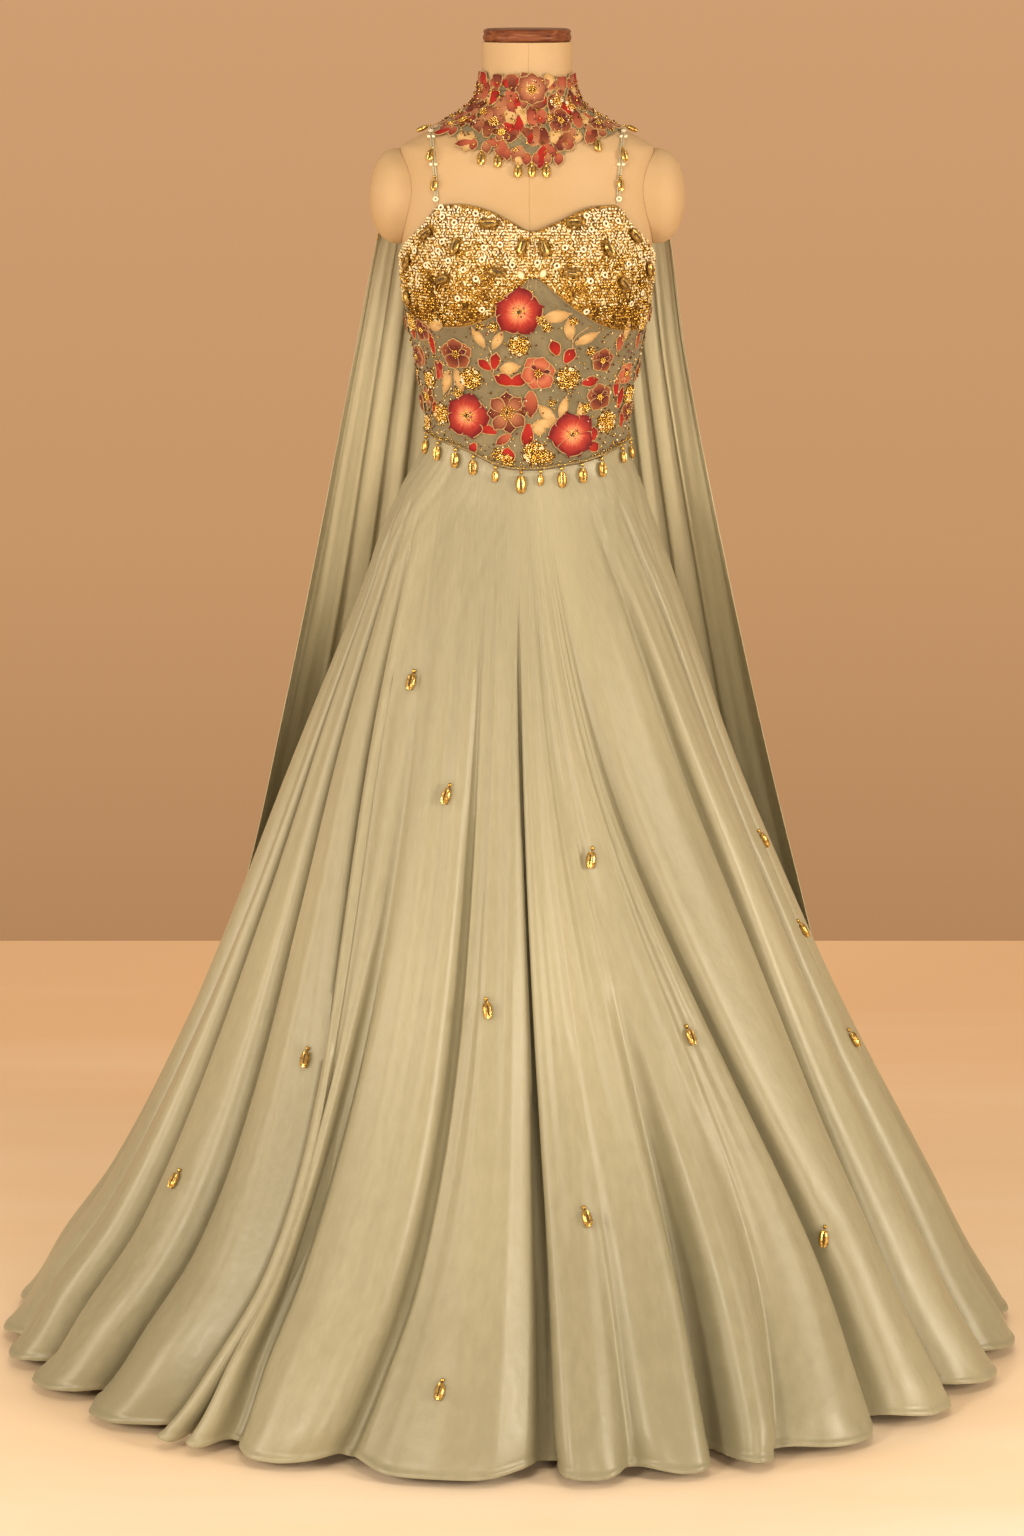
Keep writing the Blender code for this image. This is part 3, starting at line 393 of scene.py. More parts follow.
def skirt_point(flute, down):
    """A point of the skirt: valleys are at whole numbers of flute, and down runs from 0 to 1."""
    index = math.floor(flute)
    part = flute - index
    top = bodice_hem(true_azimuth(skirt_outline(flute_azimuth(flute, SKIRT_TOP), SKIRT_TOP))) - REST_GAP
    z = lerp(top, SKIRT_HEM, down)
    azimuth = flute_azimuth(flute, z)
    depth = 0.0
    lift = 0.0
    for number, away in ((index, part), (index + 1, 1.0 - part)):
        row = valley(number)[0]
        start, deep, narrow, lean = row[4:]
        grown = min(max((start - z) / (start - SKIRT_HEM), 0.0), 1.0) ** FOLD_GROWTH
        shape = hollow(away, narrow) * grown
        depth += deep * shape
        azimuth += lean * shape
        lift += FOLD_LIFT * shape
    point = skirt_outline(azimuth, z)
    around = true_azimuth(point)
    reach = math.hypot(point.x, point.y)
    point.x *= 1.0 - depth / reach
    point.y *= 1.0 - depth / reach
    onto_body = smoothstep(1.0 - (top - z) / SKIRT_BLEND)
    if onto_body > 0.0:
        point = point.lerp(form_layer(around, z, BODICE_OUTER), onto_body)
    point.z += lift * down
    return point


def cape_point(side, place, z):
    """A point of the cape: place runs from its free edge, 0, to the seam down the back, 1."""
    left, right, edge_back, middle_back = (curve(z) for curve in cape_curves)
    reach = left if side < 0 else right
    turn = math.radians(90.0 * place)
    x = reach * math.cos(turn)
    y = edge_back + (middle_back - edge_back) * math.sin(turn)
    outward = Vector((math.cos(turn), math.sin(turn), 0.0))
    grown = ((CAPE_TOP - z) / (CAPE_TOP - CAPE_HEM)) ** CAPE_GROWTH
    depth = 0.0
    for (start, deep), (end, next_deep) in zip(CAPE_VALLEYS, CAPE_VALLEYS[1:]):
        if start <= place <= end:
            part = (place - start) / (end - start)
            depth = deep * hollow(part, 1.0) + next_deep * hollow(1.0 - part, 1.0)
    point = Vector((x, y, z)) - outward * depth * grown
    point.x *= side
    return point


# Materials: numbers that several of them share
SATIN_ROUGH = 0.36
# Painted shade on the satin: below this height its colour darkens towards the floor, by this share for each
# metre
PAINTED_SHADE_HEIGHT = 0.55
PAINTED_SHADE_SHARE = 0.36


def nodes_of(name):
    """A new material with its node tree and its Principled shader."""
    made = bpy.data.materials.new(name)
    made.use_nodes = True
    tree = made.node_tree
    return made, tree, tree.nodes["Principled BSDF"]


def fill_in(node, **values):
    """Sets a node's sockets by name."""
    for key, value in values.items():
        node.inputs[key.replace("_", " ")].default_value = value


def node_on(tree, kind, source, socket="Vector", **values):
    """A node that reads a socket, with its other sockets given by name."""
    node = tree.nodes.new(kind)
    fill_in(node, **values)
    tree.links.new(source, node.inputs[socket])
    return node


def ramp(tree, source, stops):
    """A colour ramp over a value: place and colour of each stop."""
    node = node_on(tree, "ShaderNodeValToRGB", source, "Fac")
    while len(node.color_ramp.elements) < len(stops):
        node.color_ramp.elements.new(0.5)
    for element, (place, colour) in zip(node.color_ramp.elements, stops):
        element.position = place
        element.color = (*colour, 1.0)
    return node.outputs["Color"]


def paint(tree, shader, value, stops, socket="Base Color"):
    """Drives one of the shader's sockets by a ramp over a value."""
    tree.links.new(ramp(tree, value, stops), shader.inputs[socket])


def grey(value):
    """A grey, for sockets that hold one number."""
    return (value,) * 3


def scaled(tree, source, scale):
    """A coordinate stretched by a different amount along each axis."""
    return node_on(tree, "ShaderNodeMapping", source, Scale=scale).outputs["Vector"]


def noise_of(tree, source, scale, detail=3.0, roughness=0.5):
    """Noise over a coordinate. A scale of three numbers stretches it."""
    if isinstance(scale, tuple):
        source, scale = scaled(tree, source, scale), 1.0
    node = node_on(tree, "ShaderNodeTexNoise", source, Scale=scale, Detail=detail, Roughness=roughness)
    return node.outputs["Fac"]


def cells_of(tree, source, scale, randomness):
    """Voronoi cells over a coordinate."""
    return node_on(tree, "ShaderNodeTexVoronoi", source, Scale=scale, Randomness=randomness)


def split(tree, source):
    """A coordinate's three parts."""
    return node_on(tree, "ShaderNodeSeparateXYZ", source).outputs


def math_of(tree, operation, first, second):
    """A sum on two sockets or numbers."""
    node = tree.nodes.new("ShaderNodeMath")
    node.operation = operation
    for index, value in enumerate((first, second)):
        if isinstance(value, (int, float)):
            node.inputs[index].default_value = value
        else:
            tree.links.new(value, node.inputs[index])
    return node.outputs["Value"]


def weighed(tree, first, share, second, other):
    """Two values added, each by its share."""
    shared = math_of(tree, "MULTIPLY", first, share)
    return math_of(tree, "ADD", shared, math_of(tree, "MULTIPLY", second, other))


def bump(tree, shader, height, strength, distance):
    """Adds a bump to the shader, over the one it already has."""
    node = node_on(tree, "ShaderNodeBump", height, "Height", Strength=strength, Distance=distance)
    if shader.inputs["Normal"].is_linked:
        tree.links.new(shader.inputs["Normal"].links[0].from_socket, node.inputs["Normal"])
    tree.links.new(node.outputs["Normal"], shader.inputs["Normal"])


def coordinates(tree, kind):
    """The object's own coordinates or its UV map, which is in metres."""
    return tree.nodes.new("ShaderNodeTexCoord").outputs[kind]


def cloth_material(name, dark, light):
    """Woven satin: a soft sheen, faint streaks, a fine weave, and painted shade that darkens its colour
    towards the floor.
    """
    made, tree, shader = nodes_of(name)
    uv = coordinates(tree, "UV")
    broad = noise_of(tree, uv, (3.0, 1.2, 1.0), 2.0)
    streaks = noise_of(tree, uv, (170.0, 34.0, 1.0), 3.0, 0.6)
    # Painted shade: the colour is darkened below a height, more towards the floor
    height = math_of(tree, "SUBTRACT", split(tree, coordinates(tree, "Object"))["Z"], PAINTED_SHADE_HEIGHT)
    shade = math_of(tree, "MULTIPLY", math_of(tree, "MINIMUM", height, 0.0), PAINTED_SHADE_SHARE)
    tone = math_of(tree, "ADD", weighed(tree, broad, 0.74, streaks, 0.26), shade)
    paint(tree, shader, tone, ((0.22, dark), (0.80, light)))
    uneven = ((0.25, grey(SATIN_ROUGH - 0.05)), (0.75, grey(SATIN_ROUGH + 0.07)))
    paint(tree, shader, streaks, uneven, "Roughness")
    fill_in(shader, Specular_IOR_Level=0.45, Sheen_Weight=0.25, Sheen_Roughness=0.35)
    fill_in(shader, Sheen_Tint=(*light, 1.0))
    bump(tree, shader, noise_of(tree, uv, (1500.0, 180.0, 1.0), 2.0), 0.35, 0.00018)
    bump(tree, shader, noise_of(tree, uv, (85.0, 55.0, 1.0), 3.0), 0.30, 0.0012)
    return made


def canvas_material():
    """The form's cream canvas: plain weave, a little uneven."""
    made, tree, shader = nodes_of("cream canvas")
    spot = coordinates(tree, "Object")
    slubs = noise_of(tree, spot, (300.0, 300.0, 1500.0))
    tone = weighed(tree, noise_of(tree, spot, 9.0, 4.0), 0.7, slubs, 0.3)
    paint(tree, shader, tone, ((0.32, (0.48, 0.322, 0.165)), (0.68, (0.525, 0.372, 0.227))))
    fill_in(shader, Roughness=0.72, Specular_IOR_Level=0.2, Sheen_Weight=0.08)
    fill_in(shader, Sheen_Tint=(0.90, 0.55, 0.15, 1.0))
    bump(tree, shader, noise_of(tree, spot, 1400.0, 2.0), 0.35, 0.0002)
    return made


def wood_material():
    """Turned wood under a thin varnish."""
    made, tree, shader = nodes_of("turned wood")
    grain = noise_of(tree, coordinates(tree, "Object"), (18.0, 140.0, 260.0), 5.0, 0.6)
    paint(tree, shader, grain, ((0.30, (0.085, 0.022, 0.010)), (0.55, (0.200, 0.062, 0.026)),
                                (0.78, (0.350, 0.140, 0.060))))
    fill_in(shader, Roughness=0.36, Specular_IOR_Level=0.20)
    bump(tree, shader, grain, 0.2, 0.0004)
    return made


def metal_material(name, dark, light, rough, metallic=1.0, grain=700.0):
    """Worn cast metal, lighter where it is rubbed."""
    made, tree, shader = nodes_of(name)
    spot = coordinates(tree, "Object")
    tone = noise_of(tree, spot, grain)
    paint(tree, shader, tone, ((0.32, dark), (0.68, light)))
    paint(tree, shader, tone, ((0.3, grey(rough + 0.12)), (0.7, grey(rough))), "Roughness")
    fill_in(shader, Metallic=metallic)
    bump(tree, shader, noise_of(tree, spot, grain * 1.7, 2.0), 0.25, 0.0002)
    return made


def floor_material():
    """A plain pale floor, a little uneven, with painted light that makes it paler towards the front."""
    made, tree, shader = nodes_of("pale floor")
    spot = coordinates(tree, "Object")
    # Painted light: the floor's colour grows paler towards the front
    ahead = math_of(tree, "ADD", math_of(tree, "MULTIPLY", split(tree, spot)["Y"], -0.22), 0.30)
    boards = math_of(tree, "MULTIPLY", noise_of(tree, spot, (0.8, 5.0, 1.0), 4.0), 0.35)
    paint(tree, shader, math_of(tree, "ADD", boards, ahead),
          ((0.10, (0.86, 0.54, 0.305)), (0.55, (0.97, 0.76, 0.55)), (0.95, (1.00, 0.96, 0.92))))
    fill_in(shader, Roughness=0.42)
    return made


def beaded_material():
    """Cloth under close gold beads and sequins: each has its own shade and stands proud. Its dark stops are
    partly darker sequins and partly painted shade for the gaps between the beads.
    """
    made, tree, shader = nodes_of("gold beaded cloth with painted gap shade")
    uv = coordinates(tree, "UV")
    grains = cells_of(tree, uv, 620.0, 0.8)
    shades = node_on(tree, "ShaderNodeRGBToBW", grains.outputs["Color"], "Color").outputs["Val"]
    tone = weighed(tree, shades, 0.7, noise_of(tree, uv, 26.0), 0.3)
    # The dark stops are partly the sequins' own tone and partly painted shade for the gaps between the beads
    paint(tree, shader, tone, ((0.25, (0.060, 0.026, 0.004)), (0.52, (0.26, 0.120, 0.014)),
                               (0.80, (0.80, 0.48, 0.10))))
    paint(tree, shader, shades, ((0.2, grey(0.28)), (0.8, grey(0.50))), "Roughness")
    fill_in(shader, Metallic=0.65)
    bump(tree, shader, grains.outputs["Distance"], 0.9, -0.0007)
    return made


def ground_material():
    """The sage net that the flowers are sewn to."""
    made, tree, shader = nodes_of("sage net ground")
    uv = coordinates(tree, "UV")
    net = cells_of(tree, uv, 900.0, 0.35).outputs["Distance"]
    tone = weighed(tree, net, 0.6, noise_of(tree, uv, 30.0, 4.0), 0.7)
    paint(tree, shader, tone, ((0.30, (0.085, 0.070, 0.034)), (0.80, (0.230, 0.185, 0.100))))
    fill_in(shader, Roughness=0.7, Sheen_Weight=0.2)
    bump(tree, shader, net, 0.6, 0.0004)
    return made


def thread_material(name, dark, light, rough=0.4, twist=900.0, metallic=0.0):
    """Laid cord: threads that twist round it."""
    made, tree, shader = nodes_of(name)
    turns = noise_of(tree, coordinates(tree, "Object"), (twist, twist, twist * 1.6), 2.0)
    paint(tree, shader, turns, ((0.35, dark), (0.65, light)))
    fill_in(shader, Roughness=rough, Metallic=metallic, Sheen_Weight=0.2)
    bump(tree, shader, turns, 0.6, 0.0004)
    return made


def bead_material(name, dark, light, rough=0.18):
    """Glass or mother-of-pearl beads, each a little different."""
    made, tree, shader = nodes_of(name)
    spot = coordinates(tree, "Object")
    tone = noise_of(tree, spot, 380.0, 2.0)
    paint(tree, shader, tone, ((0.35, dark), (0.65, light)))
    paint(tree, shader, tone, ((0.3, grey(rough)), (0.7, grey(rough + 0.15))), "Roughness")
    fill_in(shader, Coat_Weight=0.6, Coat_Roughness=0.08)
    bump(tree, shader, noise_of(tree, spot, 1500.0, 2.0), 0.2, 0.0002)
    return made


def petal_material(name, inner, middle, outer):
    """Long and short satin stitch: the colour runs from a petal's base to its edge in threads."""
    made, tree, shader = nodes_of(name)
    uv = coordinates(tree, "UV")
    parts = split(tree, uv)
    threads = noise_of(tree, uv, (16.0, 1.6, 1.0), 3.0, 0.65)
    aside = math_of(tree, "POWER", math_of(tree, "ABSOLUTE", parts["X"], 0.0), 4.0)
    outward = math_of(tree, "ADD", parts["Y"], math_of(tree, "MULTIPLY", aside, 0.40))
    uneven = math_of(tree, "MULTIPLY", math_of(tree, "SUBTRACT", threads, 0.5), 0.85)
    paint(tree, shader, math_of(tree, "ADD", outward, uneven), ((0.08, inner), (0.46, middle), (0.86, outer)))
    fill_in(shader, Roughness=0.62, Sheen_Weight=0.05, Specular_IOR_Level=0.25)
    bump(tree, shader, threads, 0.6, 0.0006)
    return made


SATIN = cloth_material("sage satin", (0.246, 0.224, 0.146), (0.436, 0.398, 0.270))
# The cape's satin is the skirt's sage satin painted about half again as light: painted light on the
# sideways-facing cape
PAINTED_LIGHT_CAPE_SATIN = cloth_material("sage cape satin with painted light", (0.378, 0.343, 0.227), (0.650, 0.592, 0.405))
CANVAS = canvas_material()
WOOD = wood_material()
BEADED_WITH_PAINTED_GAP_SHADE = beaded_material()
GROUND = ground_material()
GOLD = metal_material("gold", (0.36, 0.170, 0.018), (1.00, 0.70, 0.19), 0.18)
BRONZE = metal_material("dark bronze beads", (0.075, 0.034, 0.007), (0.26, 0.125, 0.025), 0.25, 0.9)
STEEL = metal_material("painted steel", (0.030, 0.027, 0.024), (0.070, 0.064, 0.056), 0.40, 0.2, 40.0)
SHELL = metal_material("gilded shell", (0.30, 0.150, 0.022), (0.92, 0.62, 0.20), 0.22, 0.9, 260.0)
AGED_SHELL = metal_material("aged shell", (0.13, 0.068, 0.014), (0.60, 0.40, 0.13), 0.26, 0.9, 260.0)
# The cowrie's slit is painted near black: painted shade for the hollow inside the shell
PAINTED_SHADE_SLIT = metal_material("shell slit painted shade", (0.035, 0.018, 0.006), (0.10, 0.055, 0.020), 0.5, 0.3, 900.0)
GARNET = bead_material("garnet beads", (0.070, 0.004, 0.005), (0.20, 0.014, 0.010))
PALE_GOLD = bead_material("pale gold beads", (0.76, 0.52, 0.18), (1.0, 0.90, 0.60))
CREAM = bead_material("cream rings", (0.80, 0.66, 0.42), (1.0, 0.93, 0.75), 0.25)
CORD = thread_material("beige gold cord", (0.28, 0.16, 0.055), (0.62, 0.41, 0.18), 0.55)
CORD_DARK = thread_material("dark gold piping", (0.13, 0.085, 0.03), (0.34, 0.22, 0.08))
PIPING = thread_material("bronze piping", (0.12, 0.085, 0.035), (0.40, 0.28, 0.11), 0.4, 700.0, 0.3)
STRAP_CORD = thread_material("sage silver cord", (0.26, 0.23, 0.14), (0.60, 0.54, 0.38))
# Silk petals of each kind: the colour at the base, in the middle and at the edge
PETAL_COLOURS = {
    "poppy": ((0.78, 0.33, 0.160), (0.40, 0.034, 0.021), (0.15, 0.002, 0.006)),
    "salmon": ((0.09, 0.008, 0.006), (0.14, 0.024, 0.010), (0.27, 0.075, 0.032)),
    "mixed": ((0.18, 0.014, 0.014), (0.50, 0.150, 0.075), (0.36, 0.070, 0.035)),
    "burgundy": ((0.09, 0.003, 0.010), (0.12, 0.007, 0.014), (0.055, 0.002, 0.006)),
    "composite": ((0.22, 0.070, 0.022), (0.19, 0.040, 0.018), (0.085, 0.009, 0.006)),
    "leaf": ((0.43, 0.265, 0.105), (0.61, 0.400, 0.180), (0.46, 0.270, 0.100)),
    "red": ((0.36, 0.018, 0.008), (0.34, 0.009, 0.005), (0.18, 0.003, 0.003)),
    "pink": ((0.38, 0.105, 0.050), (0.34, 0.072, 0.036), (0.15, 0.016, 0.010)),
    "blush": ((0.42, 0.180, 0.088), (0.33, 0.115, 0.055), (0.16, 0.034, 0.016)),
    "cream": ((0.80, 0.62, 0.34), (0.92, 0.78, 0.52), (0.80, 0.60, 0.32)),
}
PETAL_FINISHES = {
    kind: petal_material(f"{kind} silk petals", *colours) for kind, colours in PETAL_COLOURS.items()
}


# Pieces

def grid_normals(points):
    """Outward normals of a grid whose rows run down and whose columns run from left to right."""
    normals = np.cross(np.gradient(points, axis=0), np.gradient(points, axis=1))
    return normals / np.maximum(np.linalg.norm(normals, axis=2, keepdims=True), 1e-12)


def piece(name, points, faces, finish, uv=None, sharp=50.0):
    """A named mesh that rides on the part's one body. uv holds a pair for each point."""
    mesh = bpy.data.meshes.new(name)
    mesh.from_pydata([tuple(point) for point in points], [], faces)
    mesh.materials.append(finish)
    if uv is not None:
        layer = mesh.uv_layers.new(name="UVMap")
        corners = np.zeros(len(mesh.loops), dtype=np.int32)
        mesh.loops.foreach_get("vertex_index", corners)
        layer.data.foreach_set("uv", np.asarray(uv, dtype=np.float32)[corners].ravel())
    mesh.shade_smooth()
    mesh.set_sharp_from_angle(angle=math.radians(sharp))
    made = bpy.data.objects.new(name, mesh)
    bpy.context.scene.collection.objects.link(made)
    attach(made, "root")
    return made


def strip_faces(rows, across, closed=False, start=0, flip=False):
    """The faces of a grid."""
    faces = []
    last = across if closed else across - 1
    for r in range(rows - 1):
        for c in range(last):
            a, b = start + r * across + c, start + r * across + (c + 1) % across
            face = (a, a + across, b + across, b)
            faces.append(tuple(reversed(face)) if flip else face)
    return faces


def wall_faces(rows, across):
    """The faces of a wall between two grids, with its four edges closed."""
    inside = rows * across
    faces = strip_faces(rows, across) + strip_faces(rows, across, start=inside, flip=True)
    for c in range(across - 1):
        low = (rows - 1) * across + c
        faces.append((c, c + 1, inside + c + 1, inside + c))
        faces.append((low + 1, low, inside + low, inside + low + 1))
    for r in range(rows - 1):
        left, right = r * across, r * across + across - 1
        faces.append((left + across, left, inside + left, inside + left + across))
        faces.append((right, right + across, inside + right + across, inside + right))
    return faces


def shell(name, outer, thickness, finish):
    """A thin cloth: a grid of outer points, and the same points moved in by its thickness."""
    rows, across = outer.shape[:2]
    inner = outer - grid_normals(outer) * thickness
    points = np.concatenate([outer.reshape(-1, 3), inner.reshape(-1, 3)])
    faces = wall_faces(rows, across)
    middle = outer[rows // 2]
    u = np.concatenate([[0.0], np.cumsum(np.linalg.norm(np.diff(middle, axis=0), axis=1))])
    steps = np.linalg.norm(np.diff(outer, axis=0), axis=2)
    v = np.concatenate([np.zeros((1, across)), np.cumsum(steps, axis=0)])
    flat = np.stack([np.broadcast_to(u, (rows, across)), v], axis=2).reshape(-1, 2)
    return piece(name, points, faces, finish, np.concatenate([flat, flat]))


def round_turns(count):
    """Angles evenly spaced over one whole turn, in radians."""
    return [2.0 * math.pi * k / count for k in range(count)]


def capped(name, loops, finish, sharp=50.0):
    """A solid through closed loops of points, from the top down, with its two ends closed."""
    points = [point for loop in loops for point in loop]
    sides = len(loops[0])
    faces = strip_faces(len(loops), sides, True)
    faces.append(tuple(range(sides)))
    faces.append(tuple(reversed(range(len(points) - sides, len(points)))))
    return piece(name, points, faces, finish, sharp=sharp)


# The form

# Columns at the canvas seam, on both sides of it, and how far the seam is drawn in
SEAM_COLUMNS = (-0.9, -0.3, 0.0, 0.3, 0.9)
SEAM_DIP = 0.0005


def build_form():
    """The canvas torso with a fine seam down its front and its back."""
    heights = spread(NECK_TOP, 1.560, 40) + spread(1.557, 1.500, 22)
    heights += spread(1.494, 1.130, 60) + spread(1.10, FORM_FOOT, 8)
    turns = [a for a in spread(-178.0, 178.0, 150) if abs(a - FRONT_SEAM) > 1.2]
    turns = sorted(turns + [FRONT_SEAM + a for a in SEAM_COLUMNS] + [180.0])
    rows = []
    for z in heights:
        row = []
        for a in turns:
            dip = SEAM_DIP if abs(a - FRONT_SEAM) < 0.1 or a == 180.0 else 0.0
            point = form_point(a, z)
            reach = math.hypot(point.x, point.y)
            row.append((point.x * (1 - dip / reach), point.y * (1 - dip / reach), z))
        rows.append(row)
    made = capped("canvas_torso", rows, CANVAS, 60.0)
    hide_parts("form_torso")


def surface_tree(*names):
    """What a ray meets on some pieces."""
    points, faces = [], []
    for name in names:
        mesh = bpy.data.objects[name].data
        start = len(points)
        points.extend(vertex.co.copy() for vertex in mesh.vertices)
        faces.extend(tuple(start + v for v in polygon.vertices) for polygon in mesh.polygons)
    return BVHTree.FromPolygons(points, faces)


def build_arm_cap(label, side, tree):
    """The rounded cap over an armhole, with the seam that joins it to the torso."""
    middle = Vector((side * ARM_CENTRE[0], ARM_CENTRE[1], ARM_CENTRE[2]))
    loops = []
    for rise in spread(90.0, 4.0, 18):
        size = math.cos(math.radians(rise)) if rise < 89.9 else 0.01
        out = side * ARM_RADII[0] * math.sin(math.radians(rise)) ** 0.8
        deep, high = side * ARM_RADII[1] * size, ARM_RADII[2] * size
        loops.append([middle + Vector((out, deep * math.cos(a), high * math.sin(a)))
                      for a in round_turns(64)])
    rim = []
    for point in loops[-1]:
        hit, _, _, _ = tree.ray_cast(Vector((side * 0.3, point.y, point.z)), Vector((-side, 0.0, 0.0)))
        rim.append(hit + Vector((side * REST_GAP, 0.0, 0.0)))
    inside = [middle.lerp(point, 0.3) for point in rim]
    made = capped(f"canvas_arm_cap_{label}", loops + [rim, inside], CANVAS, 60.0)
    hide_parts(f"form_shoulder_{label}")


def build_neck_cap():
    """The turned wooden cap: a thin rim, a hollow and a wide foot."""
    # How far the cap is turned in, and where, as a part of its height
    profile = ((CAP_RADIUS - 0.010, 0.985), (0.0065, 0.985), (0.0035, 0.95), (0.0012, 0.86), (0.0004, 0.74),
               (0.0014, 0.64), (0.0016, 0.58), (0.0006, 0.50), (0.0, 0.36), (0.0003, 0.22), (0.0012, 0.10),
               (0.0030, 0.02))
    loops = []
    for inward, part in profile:
        radius, z = CAP_RADIUS - inward, lerp(NECK_TOP, CAP_TOP, part)
        loops.append([(radius * math.cos(a), radius * math.sin(a), z) for a in round_turns(96)])
    made = capped("wooden_neck_cap", loops, WOOD)
    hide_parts("form_neck_cap")


# Cloth

def build_panel(name, node, turns, top, foot, rows, outer, finish, thickness):
    """A piece of the bodice or the collar, between two edges."""
    edges = [(a, top(wrapped(a)), foot(wrapped(a))) for a in turns]
    grid = [[tuple(form_layer(a, lerp(high, low, row / (rows - 1)), outer)) for a, high, low in edges]
            for row in range(rows)]
    made = shell(name, np.array(grid), thickness, finish)
    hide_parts(node)


def build_bodice():
    """Two cups, the front panel under them, two sides and two back pieces."""
    left = spread(-SIDE_SEAM + SEAM_TURN, FRONT_SEAM - SEAM_TURN, 56)
    right = spread(FRONT_SEAM + SEAM_TURN, SIDE_SEAM - SEAM_TURN, 56)

    def above(azimuth):
        return cup_foot(azimuth) + SEAM

    def below(azimuth):
        return cup_foot(azimuth) - SEAM

    for label, turns in (("left", left), ("right", right)):
        build_panel(f"cup_{label}", f"bodice_cup_{label}", turns, bodice_top, above, 34, CUP_OUTER, BEADED_WITH_PAINTED_GAP_SHADE,
                    CUP_THICK)
    front = left[:-1] + [FRONT_SEAM] + right[1:]
    build_panel("front_panel", "bodice_front", front, below, bodice_hem, 44,
                BODICE_OUTER, GROUND, PANEL_THICK)
    for label, sign in (("left", -1), ("right", 1)):
        for place, start, end, count, finish, slot in (
            ("side", SIDE_SEAM, BACK_SEAM, 22, GROUND, "embroidery"),
            ("back", BACK_SEAM, 180.0, 36, SATIN, "satin"),
        ):
            turns = spread(*sorted((sign * (start + SEAM_TURN), sign * (end - SEAM_TURN))), count)
            build_panel(f"{place}_panel_{label}", f"bodice_{place}_{label}", turns, bodice_top, bodice_hem,
                        36, BODICE_OUTER, finish, PANEL_THICK)


def build_collar():
    """The front of the collar, which its petals overhang, and its plain back."""
    build_panel("collar_ground", "collar_front", spread(-99.9, 99.9, 130), collar_top, collar_foot, 26,
                COLLAR_OUTER - NET_SINK, GROUND, NET_THICK)
    build_panel("collar_nape", "collar_back", spread(100.2, 259.8, 90), collar_top, collar_foot, 26,
                COLLAR_OUTER, SATIN, NAPE_THICK)


# Columns across one flute, closer together at the valleys on its two sides
FLUTE_COLUMNS = (0.0, 0.018, 0.045, 0.080, 0.120, 0.170, 0.225, 0.285, 0.345, 0.405, 0.465, 0.525, 0.585,
                 0.645, 0.705, 0.765, 0.820, 0.870, 0.915, 0.955, 0.982)

# Where the shells hang on the skirt: the tops of their boxes
SHELL_PLACES = [
    ((low[0] + high[0]) / 2, (low[1] + high[1]) / 2, high[2] - 0.004)
    for low, high in (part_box(f"skirt_shell_{number:02d}") for number in range(1, len(SKIRT_SHELLS) + 1))
]

# The skirt's last rows: how far down they are, and how far the hem's groove and roll stand out there
HEM_ROWS = ((0.9895, 0.0), (0.9925, -0.0005), (0.9945, 0.0003), (0.996, 0.0008), (0.9975, 0.0009),
            (0.9988, 0.0006), (1.0, 0.0001))


def build_skirt():
    """Five gores of satin, sewn together down valleys, with a narrow rolled hem."""
    plain = [0.0, 0.004, 0.010, 0.018] + spread(0.028, 0.985, 118)
    rows = [(down, 0.0) for down in plain] + list(HEM_ROWS)
    count = len(VALLEYS)
    gores = (
        ("front", LEFT_SEAM, RIGHT_SEAM),
        ("side_right", RIGHT_SEAM, RIGHT_SIDE),
        ("back_right", RIGHT_SIDE, CENTRE_BACK),
        ("back_left", CENTRE_BACK, count),
        ("side_left", count, count + LEFT_SEAM),
    )
    for label, first, last in gores:
        flutes = [flute + part for flute in range(first, last) for part in FLUTE_COLUMNS] + [last]
        wider = [first - FLUTE_COLUMNS[1]] + flutes + [last + FLUTE_COLUMNS[1]]
        grid = np.array([[tuple(skirt_point(flute, down)) for flute in wider] for down, _ in rows])
        normals = grid_normals(grid)[:, 1:-1]
        grid = grid[:, 1:-1]
        lift = np.array([[skirt_relief(flute, down, point) + roll for flute, point in zip(flutes, row)]
                         for (down, roll), row in zip(rows, grid)])
        made = shell(f"skirt_gore_{label}", grid + normals * lift[..., None], SKIRT_THICK, SATIN)
        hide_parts(f"skirt_{label}")


def ringed(azimuth, pitch, high, seed):
    """Noise that meets itself round the skirt, with waves about as many degrees apart as pitch."""
    turn = math.radians(azimuth)
    reach = 360.0 / (2.0 * math.pi * pitch)
    return noise.noise(Vector((reach * math.cos(turn), reach * math.sin(turn), high + seed)))


def pucker(point):
    """How a shell draws up the satin round it: a dimple with short creases above and below."""
    drawn = 0.0
    for shell_at in SHELL_PLACES:
        x, y, z = (a - b for a, b in zip(point, shell_at))
        reach = math.hypot(x, y)
        if reach < 0.06 and abs(z) < 0.16:
            side = math.copysign(reach, x * -shell_at[1] + y * shell_at[0])
            drawn -= 0.0026 * math.exp(-(reach / 0.012) ** 2 - (z / 0.020) ** 2)
            fan = 0.010 + 0.16 * abs(z)
            fading = math.exp(-(reach / (fan * 1.6)) ** 2 - (z / 0.060) ** 2)
            drawn += 0.0017 * math.cos(2.2 * side / fan) * fading
    return drawn


